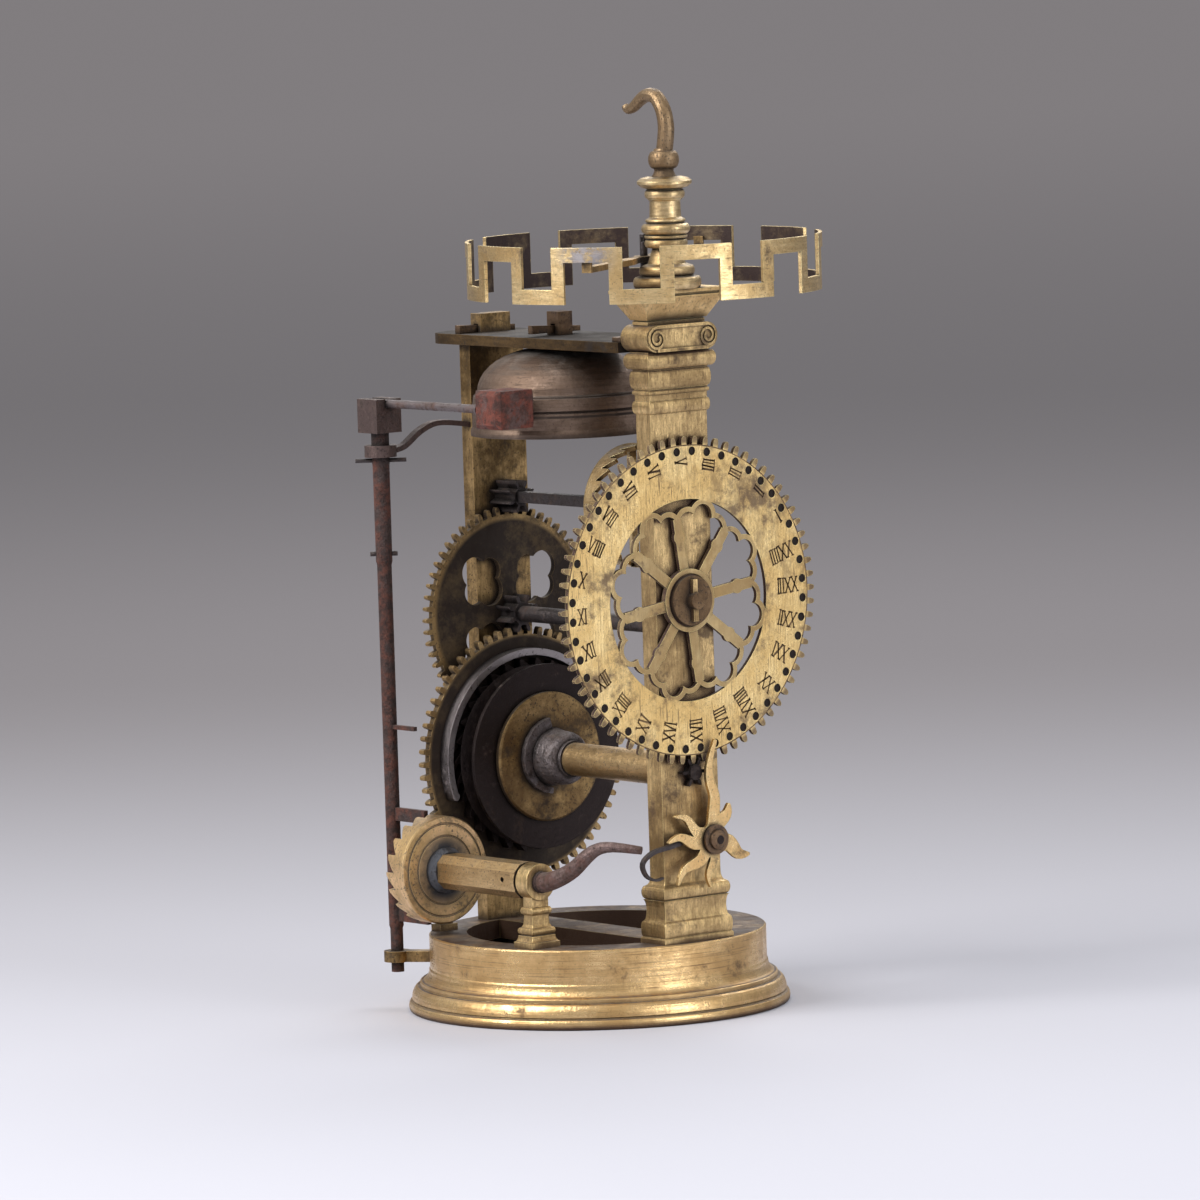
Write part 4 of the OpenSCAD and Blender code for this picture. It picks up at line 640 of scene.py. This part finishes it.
def roman(number):
    """The number in the old additive way, with IIII for four and VIIII for nine."""
    text = ""
    for value, letter in ((10, "X"), (5, "V"), (1, "I")):
        text += letter * (number // value)
        number %= value
    return text


def stroke_corners(a, b, width):
    along = (b - a).normalized()
    side = Vector((-along.y, along.x)) * width / 2
    return [a - side, b - side, b + side, a + side]


def wobble():
    """A small step in any direction, as of a hand that cuts a line."""
    return Vector((random.uniform(-WOBBLE, WOBBLE), random.uniform(-WOBBLE, WOBBLE)))


def numeral_strokes(number):
    """Four-cornered strokes of one numeral, with x inward from the outer end and y up the letters.
    Each line is cut more than once, never quite in the same place."""
    strokes = []
    x = 0.0
    for letter in roman(number):
        width, lines = LETTERS[letter]
        for a, b in lines * CUTS:
            start = Vector((x + a[0] * width, (a[1] - 0.5) * LETTER_HEIGHT)) + wobble()
            end = Vector((x + b[0] * width, (b[1] - 0.5) * LETTER_HEIGHT)) + wobble()
            strokes.append(stroke_corners(start, end, STROKE * random.uniform(THINNEST, THICKEST)))
            for tip in (start, end):
                serif = Vector((SERIF / 2, 0.0)) + wobble() / 2
                strokes.append(stroke_corners(tip - serif, tip + serif, STROKE * SERIF_THICKNESS))
        x += width + LETTER_GAP
    return strokes


def dial_point(radius, angle):
    """A point of the engraving; angle runs from the top towards the left as seen from the front."""
    return (-radius * math.sin(angle), DIAL_FACE_Y - INK_LIFT, DIAL_AXIS[2] + radius * math.cos(angle))


def mesh_piece(name, points, faces, look):
    mesh = bpy.data.meshes.new(name)
    mesh.from_pydata(points, [], faces)
    mesh.update()
    mesh.materials.append(look)
    piece = bpy.data.objects.new(name, mesh)
    bpy.context.scene.collection.objects.link(piece)
    return piece


def dial_piece(name, points, faces, look):
    """A piece that turns with the dial."""
    piece = mesh_piece(name, points, faces, look)
    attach(piece, "dial_body")


def make_numerals(look):
    points, faces = [], []
    for number in range(1, NUMERALS + 1):
        turn = math.radians((number - NUMERAL_AT_TOP) * 360 / NUMERALS + NUMERAL_FIRST_DEG)
        for corners in numeral_strokes(number):
            first = len(points)
            for corner in corners:
                radius = NUMERAL_OUTER - corner.x
                angle = turn - math.atan2(corner.y, radius)
                points.append(dial_point(math.hypot(radius, corner.y), angle))
            faces.append(tuple(range(first, first + 4)))
    dial_piece("dial_numerals", points, faces, look)


RIM_LINE_RADII = (0.03222, 0.03244)
RIM_LINE_STEPS = 180


def make_rim_line(look):
    """Circle engraved between the peg holes and the teeth."""
    points, faces = [], []
    for step in range(RIM_LINE_STEPS):
        angle = 2 * math.pi * step / RIM_LINE_STEPS
        points += [dial_point(radius, angle) for radius in RIM_LINE_RADII]
        after = 2 * ((step + 1) % RIM_LINE_STEPS)
        faces.append((2 * step, 2 * step + 1, after + 1, after))
    dial_piece("dial_rim_line", points, faces, look)


PEG_HOLES = 48
PEG_CIRCLE = 0.0311
PEG_SHADE_RADIUS = 0.00086
PEG_SHADE_DEPTH = 0.0004
PEG_SHADE_SIDES = 16


def make_peg_hole_shade(look):
    """Painted shade in the peg holes: near-black discs a little under the dial's face."""
    points, faces = [], []
    y = DIAL_FACE_Y + PEG_SHADE_DEPTH
    for hole in range(PEG_HOLES):
        turn = 2 * math.pi * (hole + 0.5) / PEG_HOLES
        x, z = PEG_CIRCLE * math.cos(turn), DIAL_AXIS[2] + PEG_CIRCLE * math.sin(turn)
        first = len(points)
        for side in range(PEG_SHADE_SIDES):
            angle = 2 * math.pi * side / PEG_SHADE_SIDES
            points.append((x + PEG_SHADE_RADIUS * math.cos(angle), y, z + PEG_SHADE_RADIUS * math.sin(angle)))
        faces.append(tuple(range(first, first + PEG_SHADE_SIDES)))
    dial_piece("dial_peg_dirt", points, faces, look)


INK_TONES = 420
HOLE_SHADE_TONES = 900
INK_BEVEL = 0.0001


def make_ink():
    """Dark wax and grime that fills the engraving."""
    look = Look("engraving")
    share = look.ranged(look.noise(INK_TONES, 4, 0.7, 2.0), 0.36, 0.60)
    colour = look.mixed(share, (0.060, 0.032, 0.018), (0.26, 0.165, 0.075))
    return look.finish(colour, 0.3, 0.7, look.edges(INK_BEVEL)[0])


def make_hole_shade():
    """Near-black painted shade for the peg holes."""
    look = Look("dirt")
    colour = look.mixed(look.noise(HOLE_SHADE_TONES, 3, 0.6, 4.0), (0.010, 0.007, 0.006), (0.026, 0.016, 0.011))
    return look.finish(colour, 0.0, 0.9, look.edges(INK_BEVEL)[0])


# Floor: painted light and shade, pale in front, grey behind and a little lighter far off, as a sheet of paper
# in falling light
FLOOR_HALF = 20.0
FLOOR_PAINTED_LIGHT = (0.56, 0.56, 0.62)
FLOOR_PAINTED_SHADE = (0.180, 0.166, 0.174)
FLOOR_FAR_PAINTED_LIGHT = (0.285, 0.258, 0.262)
# Where its painted light and shade change, in metres from the clock towards the camera
FAR_UNTIL, GREY_FROM = -4.5, -0.9
GREY_UNTIL, PALE_FROM = -0.72, 0.33


def make_floor():
    look = Look("floor")
    towards = look.vector("DOT_PRODUCT", look.place, tuple(TOWARDS_CAMERA))
    behind = look.mixed(look.ranged(towards, FAR_UNTIL, GREY_FROM), FLOOR_FAR_PAINTED_LIGHT, FLOOR_PAINTED_SHADE)
    colour = look.mixed(look.ranged(towards, GREY_UNTIL, PALE_FROM), behind, FLOOR_PAINTED_LIGHT)
    plain = look.add("ShaderNodeNewGeometry").outputs["Normal"]
    material = look.finish(colour, 0.0, 0.9, plain)
    half = FLOOR_HALF
    points = [(-half, -half, 0.0), (half, -half, 0.0), (half, half, 0.0), (-half, half, 0.0)]
    mesh_piece("floor", points, [(0, 1, 2, 3)], material)


make_camera()
make_lights()
make_room()
make_floor()
dress_nodes(make_looks())
ink = make_ink()
make_numerals(ink)
make_rim_line(ink)
make_peg_hole_shade(make_hole_shade())
